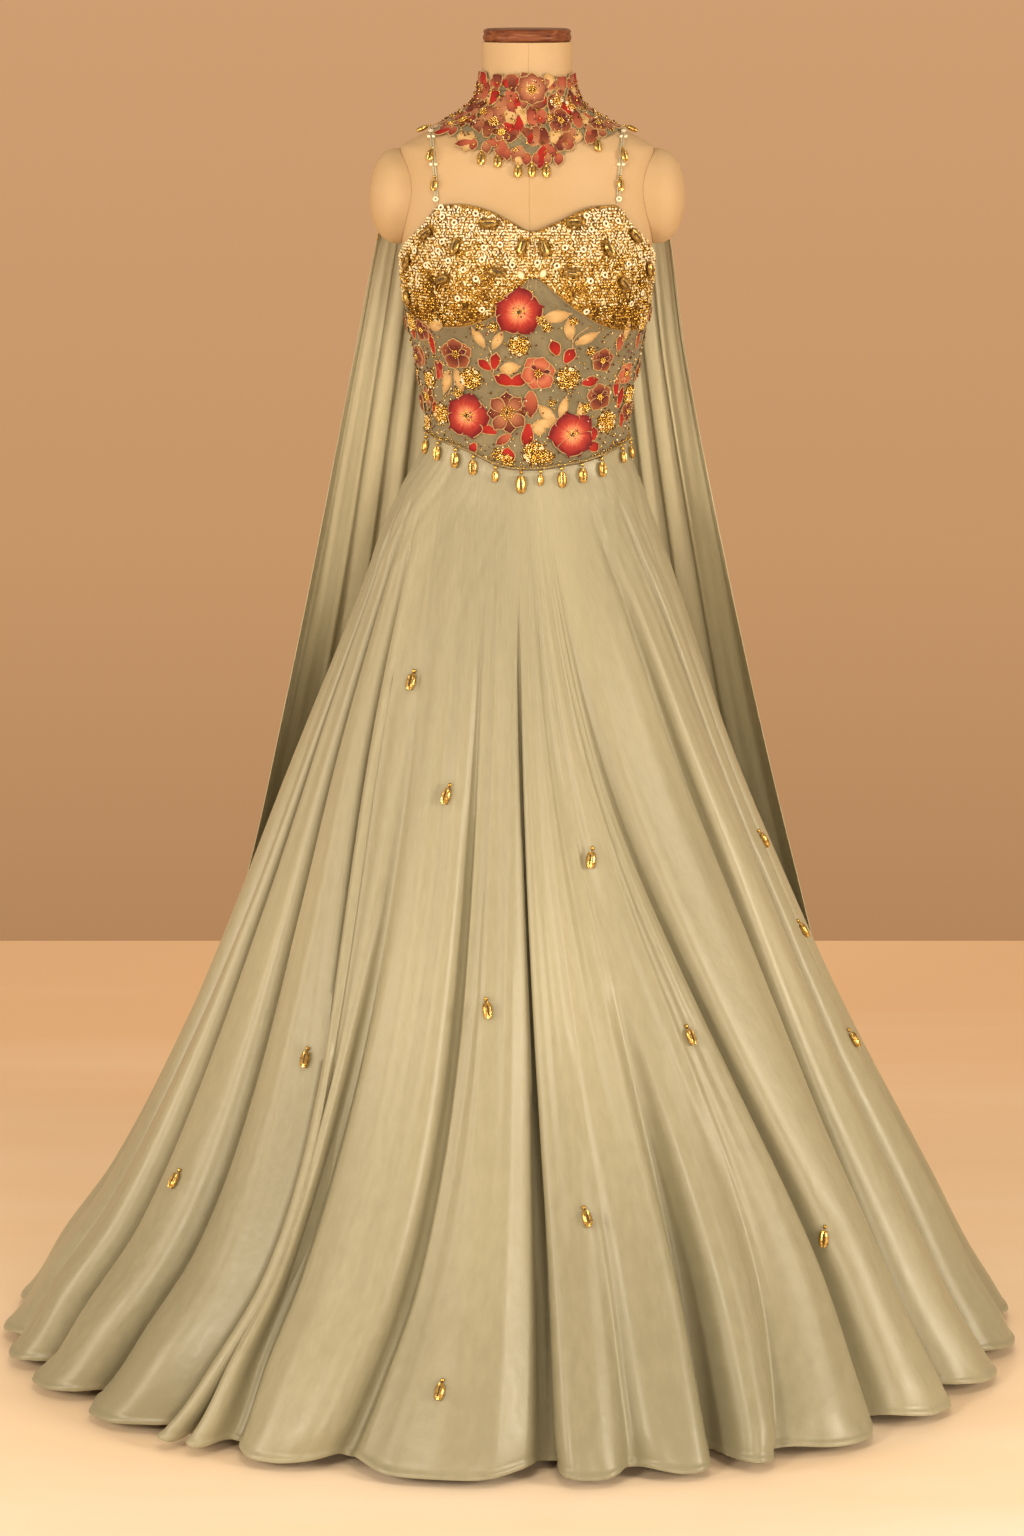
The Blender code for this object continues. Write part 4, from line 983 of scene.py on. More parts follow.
def skirt_relief(flute, down, point):
    """How far the satin stands out or in, over the main folds: long soft creases, finer near the waist."""
    x, y, z = point
    azimuth = math.degrees(math.atan2(x, -y))
    foot = flute_azimuth(flute, SKIRT_HEM)
    index = math.floor(flute)
    crease = 0.0
    for number in (index, index + 1):
        start, deep = valley(number)[0][4:6]
        grown = min(max((start - z) / 0.55, 0.0), 1.0)
        away = abs(foot - valley_azimuth(number, SKIRT_HEM))
        crease -= 0.30 * deep * grown * math.exp(-(away / 0.85) ** 2)
        crease += 0.13 * deep * grown * math.exp(-((away - 2.4) / 1.1) ** 2)
    soft = ringed(foot, 9.0, down * 1.7, 3.1) * 0.0070 * smoothstep(down * 2.2)
    creases = ringed(foot, 3.0, down * 2.1, 19.7) * 0.0046 * smoothstep(down * 3.0)
    fine = ringed(foot, 1.25, down * 5.0, 31.7) * 0.0011 * smoothstep(down * 4.0)
    aslant = ringed(azimuth + 22.0 * math.sin(down * 9.0), 3.4, down * 6.0, 45.5)
    drawn = aslant * 0.0022 * math.exp(-(down / 0.17) ** 2) * smoothstep(down * 30.0)
    near_edge = smoothstep((1.0 - down) * 30.0)
    return crease * smoothstep(down * 9.0) + (soft + creases + fine) * near_edge + drawn + pucker(point)


def build_cape():
    """Both halves of the cape."""
    heights = [CAPE_TOP, 1.550, 1.545, 1.538, 1.530] + spread(1.520, 0.030, 90)
    heights += [0.0285, 0.0265, 0.0245, 0.0225, CAPE_HEM]
    for label, side in (("left", -1), ("right", 1)):
        places = spread(0.0, 1.0, 150)
        across = places if side > 0 else list(reversed(places))
        rows = []
        for z in heights:
            row = []
            for place in across:
                point = cape_point(side, place, z)
                if place == 1.0:
                    point.x = side * SEAM / 2
                row.append(tuple(point))
            rows.append(row)
        grid = np.array(rows)
        normals = grid_normals(grid)
        lift = np.zeros(grid.shape[:2])
        for r, z in enumerate(heights):
            grown = smoothstep((CAPE_TOP - z) / 0.25)
            for c, place in enumerate(across):
                wave = noise.noise(Vector((place * 9.0, z * 1.3, 7.0 + side))) * 0.0030
                fine = noise.noise(Vector((place * 26.0, z * 2.6, 1.0 + side))) * 0.0014
                lift[r, c] = (wave + fine) * grown * smoothstep((1.0 - place) * 25.0)
        made = shell(f"cape_half_{label}", grid + normals * lift[..., None], CAPE_THICK, PAINTED_LIGHT_CAPE_SATIN)
        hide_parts(f"cape_{label}")


# Trim: what is sewn on the cloth

class Batch:
    """Many small solids of one finish, gathered into one piece."""

    def __init__(self):
        self.points, self.faces, self.uv, self.kinds = [], [], [], []

    def add(self, points, faces, uv=None, kinds=None):
        """Adds one solid. kinds gives each face's material when there are more than one."""
        start = len(self.points)
        self.points.extend(points)
        self.faces.extend(tuple(start + v for v in face) for face in faces)
        self.uv.extend(uv if uv is not None else [(0.0, 0.0)] * len(points))
        self.kinds.extend(kinds if kinds is not None else [0] * len(faces))

    def slab(self, top, bottom, uv):
        """A padded patch between two grids of points."""
        points = [p for row in top + bottom for p in row]
        faces = [tuple(reversed(face)) for face in wall_faces(len(top), len(top[0]))]
        self.add(points, faces, uv + uv)

    def tube(self, path, radius, sides=5, closed=False):
        """A cord along a path."""
        count = len(path)
        points, faces = [], []
        for k, here in enumerate(path):
            before = path[k - 1] if closed or k > 0 else here
            after = path[(k + 1) % count] if closed or k < count - 1 else here
            along = (after - before).normalized()
            side = along.cross(Vector((0.31, 0.17, 0.93))).normalized()
            other = along.cross(side)
            for s in range(sides):
                a = 2.0 * math.pi * s / sides
                points.append(here + (side * math.cos(a) + other * math.sin(a)) * radius)
        for k in range(count if closed else count - 1):
            for s in range(sides):
                a, b = k * sides + s, k * sides + (s + 1) % sides
                c, d = (k + 1) % count * sides + s, (k + 1) % count * sides + (s + 1) % sides
                faces.append((a, b, d, c))
        if not closed:
            faces.append(tuple(reversed(range(sides))))
            faces.append(tuple(range((count - 1) * sides, count * sides)))
        self.add(points, faces)

    def make(self, name, finishes, slot):
        """The piece itself."""
        made = piece(name, self.points, self.faces, finishes[0], self.uv)
        for finish in finishes[1:]:
            made.data.materials.append(finish)
        made.data.polygons.foreach_set("material_index", self.kinds)
        return made


def ball_shape(subdivisions):
    """The points and faces of a small round bead."""
    mesh = bpy.data.meshes.new("ball")
    shape = bmesh.new()
    bmesh.ops.create_icosphere(shape, subdivisions=subdivisions, radius=1.0)
    shape.to_mesh(mesh)
    shape.free()
    points = [vertex.co.copy() for vertex in mesh.vertices]
    faces = [tuple(polygon.vertices) for polygon in mesh.polygons]
    bpy.data.meshes.remove(mesh)
    return points, faces


def ring_shape(radius, tube):
    """The points and faces of a ring that lies flat on its own Z."""
    around, sides = 12, 5
    points, faces = [], []
    for a in round_turns(around):
        for b in round_turns(sides):
            reach = radius + tube * math.cos(b)
            points.append(Vector((reach * math.cos(a), reach * math.sin(a), tube * 0.8 * math.sin(b))))
    for k in range(around):
        for s in range(sides):
            a, b = k * sides + s, k * sides + (s + 1) % sides
            c, d = (k + 1) % around * sides + s, (k + 1) % around * sides + (s + 1) % sides
            faces.append((a, c, d, b))
    return points, faces


def cowrie_shape(length, width):
    """A cowrie shell that lies on its own Z with its length along Y and its toothed slit up."""
    rows, around = 13, 18
    points, faces, kinds = [], [], []
    for r in range(1, rows):
        t = -1.0 + 2.0 * r / rows
        girth = (1.0 - abs(t) ** 2.3) ** 0.55
        for s in range(around):
            a = 2.0 * math.pi * (s - 0.5) / around
            x, z = width / 2 * girth * math.sin(a), width * 0.34 * girth * math.cos(a)
            slit = math.exp(-(wrapped(math.degrees(a)) / 17.0) ** 2) * (1.0 - t ** 4)
            z -= slit * width * 0.16 * girth
            lip = math.exp(-((abs(wrapped(math.degrees(a))) - 38.0) / 13.0) ** 2) * (1.0 - t ** 4)
            z += lip * width * (0.05 + 0.02 * math.cos(t * 30.0))
            points.append(Vector((x, t * length / 2, z)))
    for r in range(rows - 2):
        for s in range(around):
            a, b = r * around + s, r * around + (s + 1) % around
            faces.append((a, b, b + around, a + around))
            # Faces down the slit take the second finish, which is painted shade
            kinds.append(1 if s == 0 and 1 < r < rows - 4 else 0)
    faces.append(tuple(reversed(range(around))))
    faces.append(tuple(range((rows - 2) * around, (rows - 1) * around)))
    kinds.extend((0, 0))
    return points, faces, kinds


BALL = ball_shape(1)
FINE_BALL = ball_shape(2)


class Cloth:
    """A finished surface that trim is laid on."""

    def __init__(self, *names, tree=None):
        self.tree = tree or surface_tree(*names)

    def spot(self, azimuth, z):
        """A frame on the surface: where it is, and its directions right, up and out."""
        turn = math.radians(azimuth)
        outward = Vector((math.sin(turn), -math.cos(turn), 0.0))
        where, normal, _, _ = self.tree.ray_cast(Vector((0.0, 0.0, z)) + outward * 0.9, -outward, 0.9)
        if where is None:
            where, normal, _, _ = self.tree.find_nearest(form_point(azimuth, z))
        right = Vector((0.0, 0.0, 1.0)).cross(normal).normalized()
        return where, right, normal.cross(right), normal

    def lay(self, spot, a, b, lift):
        """A point a to the right of a spot and b above it, along the surface, and lifted off it."""
        where, right, up, out = spot
        over = where + right * a + up * b
        found, normal, _, _ = self.tree.ray_cast(over + out * 0.02, -out, 0.04)
        if found is None:
            found, normal, _, _ = self.tree.find_nearest(over)
        return found + normal * lift


def collar_surface():
    """The collar's face, carried on a little past its edges, so that petals can overhang them."""
    turns, steps = spread(-104.0, 104.0, 150), spread(0.0, 1.0, 30)
    points = [form_layer(a, lerp(collar_top(a) + 0.007, collar_foot(a) - 0.010, t), COLLAR_OUTER - NET_SINK)
              for t in steps for a in turns]
    return BVHTree.FromPolygons(points, strip_faces(len(steps), len(turns)))


def turn_in(spot, turn):
    """A spot's frame as a matrix, turned about its outward direction."""
    _, right, up, out = spot
    a = math.radians(turn)
    x = right * math.cos(a) + up * math.sin(a)
    y = up * math.cos(a) - right * math.sin(a)
    return Matrix((x, y, out)).transposed()


def put(batch, shape, where, basis, size=(1.0, 1.0, 1.0)):
    """Adds a copy of a shape at a place."""
    points = [where + basis @ Vector((p.x * size[0], p.y * size[1], p.z * size[2])) for p in shape[0]]
    batch.add(points, shape[1], kinds=shape[2] if len(shape) > 2 else None)


def bead(batch, cloth, spot, a, b, radius, sink):
    """A bead on the cloth. sink is how much of its radius is in it: a bead on a heap has less than none."""
    _, right, up, out = spot
    centre = cloth.lay(spot, a, b, radius * (1.0 - sink))
    put(batch, BALL, centre, Matrix((right, up, out)).transposed(), (radius,) * 3)


def petal(batch, edging, cloth, spot, angle, near, length, width, style):
    """One padded petal or leaf, which points away from a spot at an angle, with a cord round its edge.

    style: where it is widest, how full it is, its thickness, how far it lies off the cloth, and the
    size of its edge's waves.
    """
    widest, full, thick, lift, waves = style
    a = math.radians(angle)
    ahead, aside = Vector((math.cos(a), math.sin(a))), Vector((-math.sin(a), math.cos(a)))
    rows, across = 8, 7
    top, bottom, uv, edges = [], [], [], [[], []]
    for r in range(rows):
        v = r / (rows - 1)
        wide = width / 2 * math.sin(math.pi * (0.04 + 0.93 * v ** widest)) ** full
        high_row, low_row = [], []
        for c in range(across):
            u = -1.0 + 2.0 * c / (across - 1)
            wave = 1.0 + waves * math.sin(5.0 * u + angle) * v
            place = ahead * (near + v * length * wave * (1.0 - 0.10 * u * u * v)) + aside * (u * wide)
            plump = 0.35 + 0.65 * math.sin(math.pi * min(v + 0.12, 1.0))
            mound = thick * (1.0 - abs(u) ** 2.5) ** 0.6 * plump
            rise = lift + 0.00045 + mound + 0.35 * thick * v * waves * 6.0 * abs(u)
            high_row.append(cloth.lay(spot, place.x, place.y, rise))
            low_row.append(cloth.lay(spot, place.x, place.y, lift + 0.0001))
            uv.append((u, v))
            if c in (0, across - 1):
                edges[c > 0].append(cloth.lay(spot, place.x, place.y, lift + 0.0006))
        top.append(high_row)
        bottom.append(low_row)
    batch.slab(top, bottom, uv)
    tip = [cloth.lay(spot, p.x, p.y, lift + 0.0006) for p in
           (ahead * (near + length * (0.995 - 0.10 * u * u)) + aside * u * wide for u in (-0.5, 0.0, 0.5))]
    edging.tube(edges[0] + tip + list(reversed(edges[1])), 0.00074, 4, True)


def cluster(batch, cloth, spot, radius, size, count):
    """A close round heap of beads, in a spiral from its middle."""
    for k in range(count):
        reach = radius * math.sqrt((k + 0.5) / count)
        a = k * GOLDEN_TURN
        wobble = chance.uniform(-0.15, 0.15) * size
        high = size * (1.0 + 1.1 * (1.0 - (reach / radius) ** 2))
        centre = cloth.lay(spot, reach * math.cos(a) + wobble, reach * math.sin(a) + wobble, high * 0.7)
        put(batch, BALL, centre, turn_in(spot, 0.0), (size * chance.uniform(0.8, 1.1),) * 3)


# Flowers of the bodice: azimuth, height, radius, petals, turn, kind
BODICE_FLOWERS = (
    (-5.0, 1.3530, 0.0322, 5, 15.0, "poppy"),
    (-41.5, 1.2200, 0.0298, 5, 0.0, "poppy"),
    (32.0, 1.1965, 0.0298, 5, 40.0, "poppy"),
    (-43.5, 1.2985, 0.0220, 5, 20.0, "salmon"),
    (7.5, 1.2750, 0.0225, 6, 10.0, "mixed"),
    (-14.0, 1.2250, 0.0265, 8, 5.0, "composite"),
    (48.4, 1.2430, 0.0185, 5, 30.0, "salmon"),
    (47.0, 1.2900, 0.0165, 5, 10.0, "salmon"),
    (-63.0, 1.3260, 0.0150, 5, 25.0, "salmon"),
    (-70.0, 1.2400, 0.0150, 5, 50.0, "composite"),
    (66.0, 1.2700, 0.0150, 6, 0.0, "mixed"),
)
# Leaves and single petals: azimuth, height, angle it points, length, width, kind
BODICE_PETALS = (
    (-26.3, 1.3080, 118.0, 0.024, 0.0085, "leaf"), (-21.5, 1.3060, 62.0, 0.021, 0.0085, "leaf"),
    (26.0, 1.3180, 100.0, 0.023, 0.0100, "leaf"), (29.0, 1.3120, 25.0, 0.026, 0.0100, "leaf"),
    (9.5, 1.3440, 12.0, 0.028, 0.0120, "leaf"), (-18.0, 1.2795, 8.0, 0.020, 0.0120, "leaf"),
    (-47.0, 1.3360, 195.0, 0.022, 0.0110, "leaf"), (-50.5, 1.2760, 250.0, 0.026, 0.0095, "leaf"),
    (-46.0, 1.2780, 285.0, 0.024, 0.0100, "leaf"), (20.0, 1.2130, 135.0, 0.024, 0.0100, "leaf"),
    (19.0, 1.2130, 190.0, 0.023, 0.0090, "leaf"), (23.5, 1.2180, 75.0, 0.022, 0.0085, "leaf"),
    (38.5, 1.2120, 100.0, 0.020, 0.0080, "leaf"), (-52.0, 1.2110, 15.0, 0.014, 0.0090, "leaf"),
    (53.5, 1.2000, 60.0, 0.016, 0.0085, "leaf"), (60.0, 1.3150, 100.0, 0.022, 0.0080, "leaf"),
    (-9.0, 1.2620, 160.0, 0.022, 0.0130, "red"), (-12.0, 1.2620, 20.0, 0.020, 0.0130, "red"),
    (-24.0, 1.2790, 140.0, 0.017, 0.0100, "red"), (-22.0, 1.2800, 80.0, 0.018, 0.0110, "red"),
    (19.5, 1.2980, 110.0, 0.017, 0.0120, "red"), (24.5, 1.2880, 60.0, 0.018, 0.0125, "red"),
    (36.5, 1.2610, 10.0, 0.019, 0.0110, "red"), (-22.0, 1.1990, 160.0, 0.026, 0.0110, "red"),
    (-15.0, 1.1800, 280.0, 0.016, 0.0150, "red"), (1.0, 1.2110, 265.0, 0.026, 0.0130, "red"),
    (46.5, 1.1880, 90.0, 0.014, 0.0110, "red"), (44.0, 1.1760, 30.0, 0.012, 0.0120, "red"),
    (-36.5, 1.1850, 240.0, 0.011, 0.0100, "red"), (2.5, 1.2520, 270.0, 0.030, 0.0160, "pink"),
    (-12.0, 1.1970, 215.0, 0.020, 0.0100, "pink"), (56.5, 1.3000, 90.0, 0.022, 0.0110, "pink"),
    (-58.0, 1.2960, 95.0, 0.026, 0.0085, "red"), (-59.0, 1.2640, 70.0, 0.022, 0.0090, "red"),
    (-55.5, 1.2650, 110.0, 0.022, 0.0090, "pink"), (-69.0, 1.2800, 90.0, 0.022, 0.0100, "pink"),
    (64.0, 1.2260, 80.0, 0.024, 0.0100, "red"), (61.0, 1.2420, 100.0, 0.018, 0.0090, "red"),
    (-66.0, 1.2150, 85.0, 0.020, 0.0090, "red"), (69.0, 1.2010, 85.0, 0.022, 0.0090, "red"),
    (59.0, 1.2560, 60.0, 0.016, 0.0080, "pink"), (-73.0, 1.3120, 90.0, 0.020, 0.0100, "red"),
    (72.0, 1.3000, 95.0, 0.022, 0.0090, "pink"), (9.0, 1.1960, 95.0, 0.016, 0.0110, "leaf"),
)
# Heaps of gold beads on the bodice: azimuth, height, radius, number of beads
BODICE_HEAPS = (
    (-5.3, 1.3095, 0.0120, 46), (-37.0, 1.2670, 0.0125, 50), (27.1, 1.2680, 0.0135, 60),
    (5.0, 1.1740, 0.0130, 56), (55.5, 1.2100, 0.0130, 50), (-19.8, 1.3340, 0.0060, 16),
    (-26.3, 1.3350, 0.0045, 10), (25.4, 1.3410, 0.0050, 12), (7.6, 1.3420, 0.0060, 14),
    (17.4, 1.2370, 0.0040, 8), (12.0, 1.3330, 0.0055, 12), (-60.0, 1.2200, 0.0120, 44),
    (-72.0, 1.3340, 0.0110, 36), (-66.0, 1.2620, 0.0100, 30), (74.0, 1.2400, 0.0120, 40),
    (-14.0, 1.1640, 0.0075, 18), (-21.0, 1.1720, 0.0070, 16), (-46.0, 1.2480, 0.0060, 14),
    (14.0, 1.1690, 0.0080, 18), (40.0, 1.2290, 0.0060, 14), (39.0, 1.3020, 0.0050, 10),
    (3.0, 1.3960, 0.0045, 10), (-76.0, 1.2050, 0.0090, 24), (71.0, 1.3320, 0.0090, 24),
)
# Stems: azimuth and height of each end, and how far the middle bows
BODICE_STEMS = (
    (-24.0, 1.3080, -23.0, 1.2700, 0.003), (27.0, 1.3180, 25.0, 1.2800, 0.004),
    (27.5, 1.3130, 34.0, 1.3330, -0.004), (-49.0, 1.2780, -53.0, 1.2450, 0.003),
    (20.0, 1.2130, 15.0, 1.2050, 0.003), (22.0, 1.2180, 13.0, 1.1990, -0.005),
    (10.0, 1.3440, 5.0, 1.3460, 0.001), (-50.0, 1.2460, -46.0, 1.2440, 0.003),
    (38.0, 1.2120, 36.0, 1.2300, 0.003),
)

# The collar's petals and flowers: azimuth, height, angle, length, width, kind
COLLAR_PETALS = (
    (-43.5, 1.6040, 75.0, 0.024, 0.0170, "red"), (-20.0, 1.6180, 280.0, 0.034, 0.0150, "pink"),
    (-33.0, 1.5990, 300.0, 0.026, 0.0140, "blush"), (-56.0, 1.6010, 250.0, 0.030, 0.0150, "blush"),
    (-8.0, 1.5930, 268.0, 0.028, 0.0140, "red"), (3.5, 1.5720, 275.0, 0.020, 0.0130, "red"),
    (11.0, 1.5830, 60.0, 0.016, 0.0150, "red"), (-42.0, 1.5600, 190.0, 0.026, 0.0120, "pink"),
    (-34.0, 1.5600, 350.0, 0.026, 0.0130, "pink"), (-6.0, 1.5520, 250.0, 0.018, 0.0220, "blush"),
    (16.0, 1.5570, 310.0, 0.026, 0.0130, "pink"), (42.0, 1.5750, 245.0, 0.026, 0.0150, "blush"),
    (-66.0, 1.5940, 240.0, 0.024, 0.0130, "pink"), (-76.0, 1.6060, 95.0, 0.026, 0.0080, "red"),
    (64.0, 1.6010, 80.0, 0.024, 0.0100, "red"), (60.0, 1.5930, 300.0, 0.026, 0.0120, "pink"),
    (52.0, 1.5790, 300.0, 0.026, 0.0130, "blush"), (24.0, 1.6220, 35.0, 0.020, 0.0085, "pink"),
    (32.0, 1.6130, 30.0, 0.022, 0.0100, "blush"), (-13.0, 1.6080, 290.0, 0.024, 0.0110, "leaf"),
    (16.0, 1.5900, 350.0, 0.020, 0.0110, "blush"), (-88.0, 1.5950, 90.0, 0.022, 0.0100, "pink"),
    (86.0, 1.5960, 90.0, 0.022, 0.0100, "red"), (-95.0, 1.5860, 260.0, 0.020, 0.0120, "blush"),
    (92.0, 1.5860, 280.0, 0.020, 0.0120, "pink"), (-62.0, 1.5730, 200.0, 0.024, 0.0120, "red"),
    (72.0, 1.5790, 330.0, 0.024, 0.0120, "blush"), (28.0, 1.5590, 330.0, 0.020, 0.0120, "blush"),
)
# Heaps of beads on the collar: azimuth, height, radius, number, kind
COLLAR_HEAPS = (
    (5.4, 1.6235, 0.0135, 60, "gold"), (-33.5, 1.5830, 0.0080, 28, "gold"),
    (34.0, 1.6080, 0.0100, 40, "gold"), (50.0, 1.6010, 0.0090, 34, "gold"),
    (-80.0, 1.5900, 0.0080, 26, "gold"), (-22.0, 1.5690, 0.0065, 18, "garnet"),
    (24.0, 1.5880, 0.0055, 12, "gold"), (38.0, 1.5850, 0.0060, 12, "garnet"),
    (28.0, 1.5740, 0.0045, 8, "garnet"), (68.0, 1.5830, 0.0080, 20, "gold"),
    (-50.0, 1.5800, 0.0050, 10, "garnet"), (-10.0, 1.5490, 0.0040, 8, "gold"),
    (-68.0, 1.5800, 0.0060, 14, "gold"), (82.0, 1.5900, 0.0070, 18, "gold"),
    (-47.0, 1.5950, 0.0060, 14, "gold"),
)

# Shells and rings on the cups: azimuth, height, turn
CUP_COWRIES = (
    (-23.2, 1.4602, 90.0), (-54.1, 1.4465, 125.0), (-37.4, 1.4322, 170.0), (-3.5, 1.4322, 165.0),
    (-16.8, 1.4023, 80.0), (-41.4, 1.3928, 110.0), (27.8, 1.4614, 90.0), (57.7, 1.4436, 45.0),
    (10.4, 1.4300, 20.0), (41.9, 1.4282, 20.0), (22.8, 1.4013, 85.0), (48.4, 1.3869, 45.0),
    (-66.0, 1.4100, 150.0), (68.0, 1.4000, 20.0), (-69.0, 1.3650, 10.0),
)
CUP_RINGS = (
    (-49.3, 1.4790), (-47.6, 1.4679), (-44.7, 1.4377), (-23.7, 1.4314), (-15.9, 1.4349), (-39.6, 1.4151),
    (-23.8, 1.4170), (-8.8, 1.4105), (-25.6, 1.3940), (-23.5, 1.3567), (49.9, 1.4628), (35.6, 1.4528),
    (29.4, 1.4290), (20.9, 1.4314), (16.2, 1.4096), (30.7, 1.3914), (37.9, 1.3982), (30.0, 1.3540),
    (-31.8, 1.4565), (-40.9, 1.4610), (-45.9, 1.4266), (-52.1, 1.4086), (-31.5, 1.4048), (43.5, 1.4596),
    (-31.2, 1.4722), (34.8, 1.4697), (52.0, 1.4100), (60.0, 1.4200), (-60.0, 1.4250), (-58.0, 1.3850),
    (56.0, 1.3600), (6.0, 1.4130), (-34.0, 1.3700), (64.0, 1.3720),
)
# Cream petals along the cups' inner edges: azimuth, height, angle
CUP_PETALS = (
    (-14.8, 1.3580, 75.0), (-11.5, 1.3670, 60.0), (-2.5, 1.3930, 120.0), (7.8, 1.3950, 60.0),
    (16.8, 1.3650, 120.0), (22.3, 1.3570, 105.0),
)
# Darts of the cups: azimuth and height of each end
CUP_DARTS = (
    (-38.0, 1.3900, -31.5, 1.3400), (-47.0, 1.3880, -44.0, 1.3350), (40.0, 1.3860, 38.0, 1.3420),
    (49.0, 1.3800, 48.5, 1.3320),
)
# Flowers at the bodice's sides: azimuth, height
SIDE_FLOWERS = (
    (74.0, 1.2200), (-74.0, 1.2900), (84.0, 1.2700), (-84.0, 1.2300), (86.0, 1.3400), (-88.0, 1.3300),
    (94.0, 1.2200), (-96.0, 1.2600), (98.0, 1.3100),
)
# Flowers of the collar: azimuth, height, radius, petals, turn, kind
COLLAR_FLOWERS = (
    (33.0, 1.5840, 0.0175, 5, 10.0, "salmon"),
    (-24.0, 1.5700, 0.0130, 5, 30.0, "composite"),
    (-60.0, 1.5830, 0.0140, 5, 0.0, "composite"),
    (62.0, 1.5790, 0.0140, 5, 0.0, "salmon"),
)
# What is sewn on each strap: height, kind
STRAP_TRIM = (
    (1.5755, "shell"), (1.5620, "pair"), (1.5490, "shell"), (1.5320, "pair"), (1.5150, "shell"),
    (1.4905, "ring"), (1.5680, "ring"),
)
# How long each shell at the hem is
HEM_SHELL_LENGTHS = (0.020, 0.021, 0.022, 0.022, 0.017, 0.026, 0.016, 0.023, 0.022, 0.022, 0.017, 0.019)
# How much larger the single petals of the bodice are than their table says, by kind
PETAL_GROWTH = {"leaf": 1.32, "red": 1.22, "pink": 1.15}
# How wide a flower's petals are, as a part of its radius
FLOWER_WIDTHS = {"poppy": 1.06, "salmon": 0.95, "mixed": 0.92, "composite": 0.66}

# Kinds of petal: where it is widest, how full, its thickness, how far off the cloth, its edge's waves
STYLES = {
    "poppy": (1.65, 0.66, 0.0024, 0.0006, 0.085), "salmon": (1.30, 0.50, 0.0013, 0.0004, 0.03),
    "mixed": (1.40, 0.50, 0.0012, 0.0004, 0.02), "burgundy": (1.20, 0.60, 0.0012, 0.0012, 0.02),
    "composite": (1.50, 0.50, 0.0012, 0.0004, 0.03), "leaf": (0.95, 0.85, 0.0012, 0.0003, 0.0),
    "red": (1.30, 0.50, 0.0014, 0.0003, 0.02), "pink": (1.10, 0.55, 0.0014, 0.0003, 0.02),
    "blush": (1.10, 0.60, 0.0014, 0.0003, 0.02), "cream": (0.95, 0.80, 0.0010, 0.0012, 0.0),
}


# Sewing it all on

class Kit:
    """The batches of trim on one cloth: a batch for each kind of petal, and cord, beads and shells."""

    def __init__(self):
        self.petals = {kind: Batch() for kind in STYLES}
        self.cord, self.gold, self.light, self.dark = Batch(), Batch(), Batch(), Batch()
        self.garnet, self.pale, self.shells = Batch(), Batch(), Batch()

    def finish(self, label, slot, shell_finish=SHELL):
        """Makes the pieces."""
        named = [(f"{kind}_petals", batch, [PETAL_FINISHES[kind]], slot)
                 for kind, batch in self.petals.items()]
        named += [
            ("cord_edges", self.cord, [CORD], slot),
            ("gold_beads", self.gold, [GOLD], "gold"),
            ("garnet_beads", self.garnet, [GARNET], slot),
            ("cream_rings", self.pale, [CREAM], slot),
            ("pale_gold_beads", self.light, [PALE_GOLD], "gold"),
            ("bronze_beads", self.dark, [BRONZE], "gold"),
            ("shells", self.shells, [shell_finish, PAINTED_SHADE_SLIT], "gold"),
        ]
        for what, batch, finishes, place in named:
            if batch.points:
                batch.make(f"{label}_{what}", finishes, place)


# A tenth of a turn, in radians
TENTH = 0.6283

# A petal that lies over others: where it is widest, how full, its thickness, its height, its waves
RAISED = (1.30, 0.50, 0.0014, 0.0016, 0.02)


def single(kit, cloth, azimuth, z, angle, length, width, kind):
    """One petal or leaf of its own."""
    petal(kit.petals[kind], kit.cord, cloth, cloth.spot(azimuth, z), angle, 0.0, length, width, STYLES[kind])


def round_bead(batch, cloth, spot, reach, a, radius, sink):
    """A bead at a distance and an angle from a spot."""
    bead(batch, cloth, spot, reach * math.cos(a), reach * math.sin(a), radius, sink)


def flower(kit, cloth, azimuth, z, radius, petals, turn, kind):
    """A flower: its petals, and what fills its middle."""
    spot = cloth.spot(azimuth, z)
    width = radius * FLOWER_WIDTHS[kind]
    for k in range(petals):
        angle = turn + 360.0 * k / petals + chance.uniform(-4.0, 4.0)
        widest, full, thick, lift, waves = STYLES[kind]
        style = (widest, full, thick, lift + 0.0008 * (k % 2) + 0.0002 * k, waves)
        batch = kit.petals["blush" if kind == "composite" and k % 2 else kind]
        length = radius * 0.90 * chance.uniform(0.94, 1.04)
        petal(batch, kit.cord, cloth, spot, angle, radius * 0.10, length, width, style)
        if kind in ("mixed", "salmon"):
            petal(kit.petals["burgundy"], kit.cord, cloth, spot, angle, radius * 0.14, radius * 0.55,
                  radius * 0.36, STYLES["burgundy"])
        if kind == "composite":
            sew_petal_tip(kit, cloth, spot, radius * 0.72, math.radians(angle))
    if kind == "poppy":
        sew_poppy_heart(kit, cloth, spot, radius)
    elif kind == "composite":
        sew_spiral(kit, cloth, spot, radius * 0.34, 30, 0.0014)
    else:
        sew_spiral(kit, cloth, spot, radius * 0.24, 16, 0.0013)
    if kind == "salmon":
        for n in range(10):
            a = math.radians(turn) + TENTH * n
            round_bead(kit.garnet, cloth, spot, radius * (0.40 + 0.14 * (n % 2)), a, 0.0017, -0.8)


def sew_petal_tip(kit, cloth, spot, reach, a):
    """A small round of beads near the tip of a petal."""
    for n in range(7):
        b = n * 0.9
        across, up = reach * math.cos(a) + 0.0026 * math.cos(b), reach * math.sin(a) + 0.0026 * math.sin(b)
        bead(kit.garnet if n % 3 else kit.gold, cloth, spot, across, up, 0.0009, -1.2)


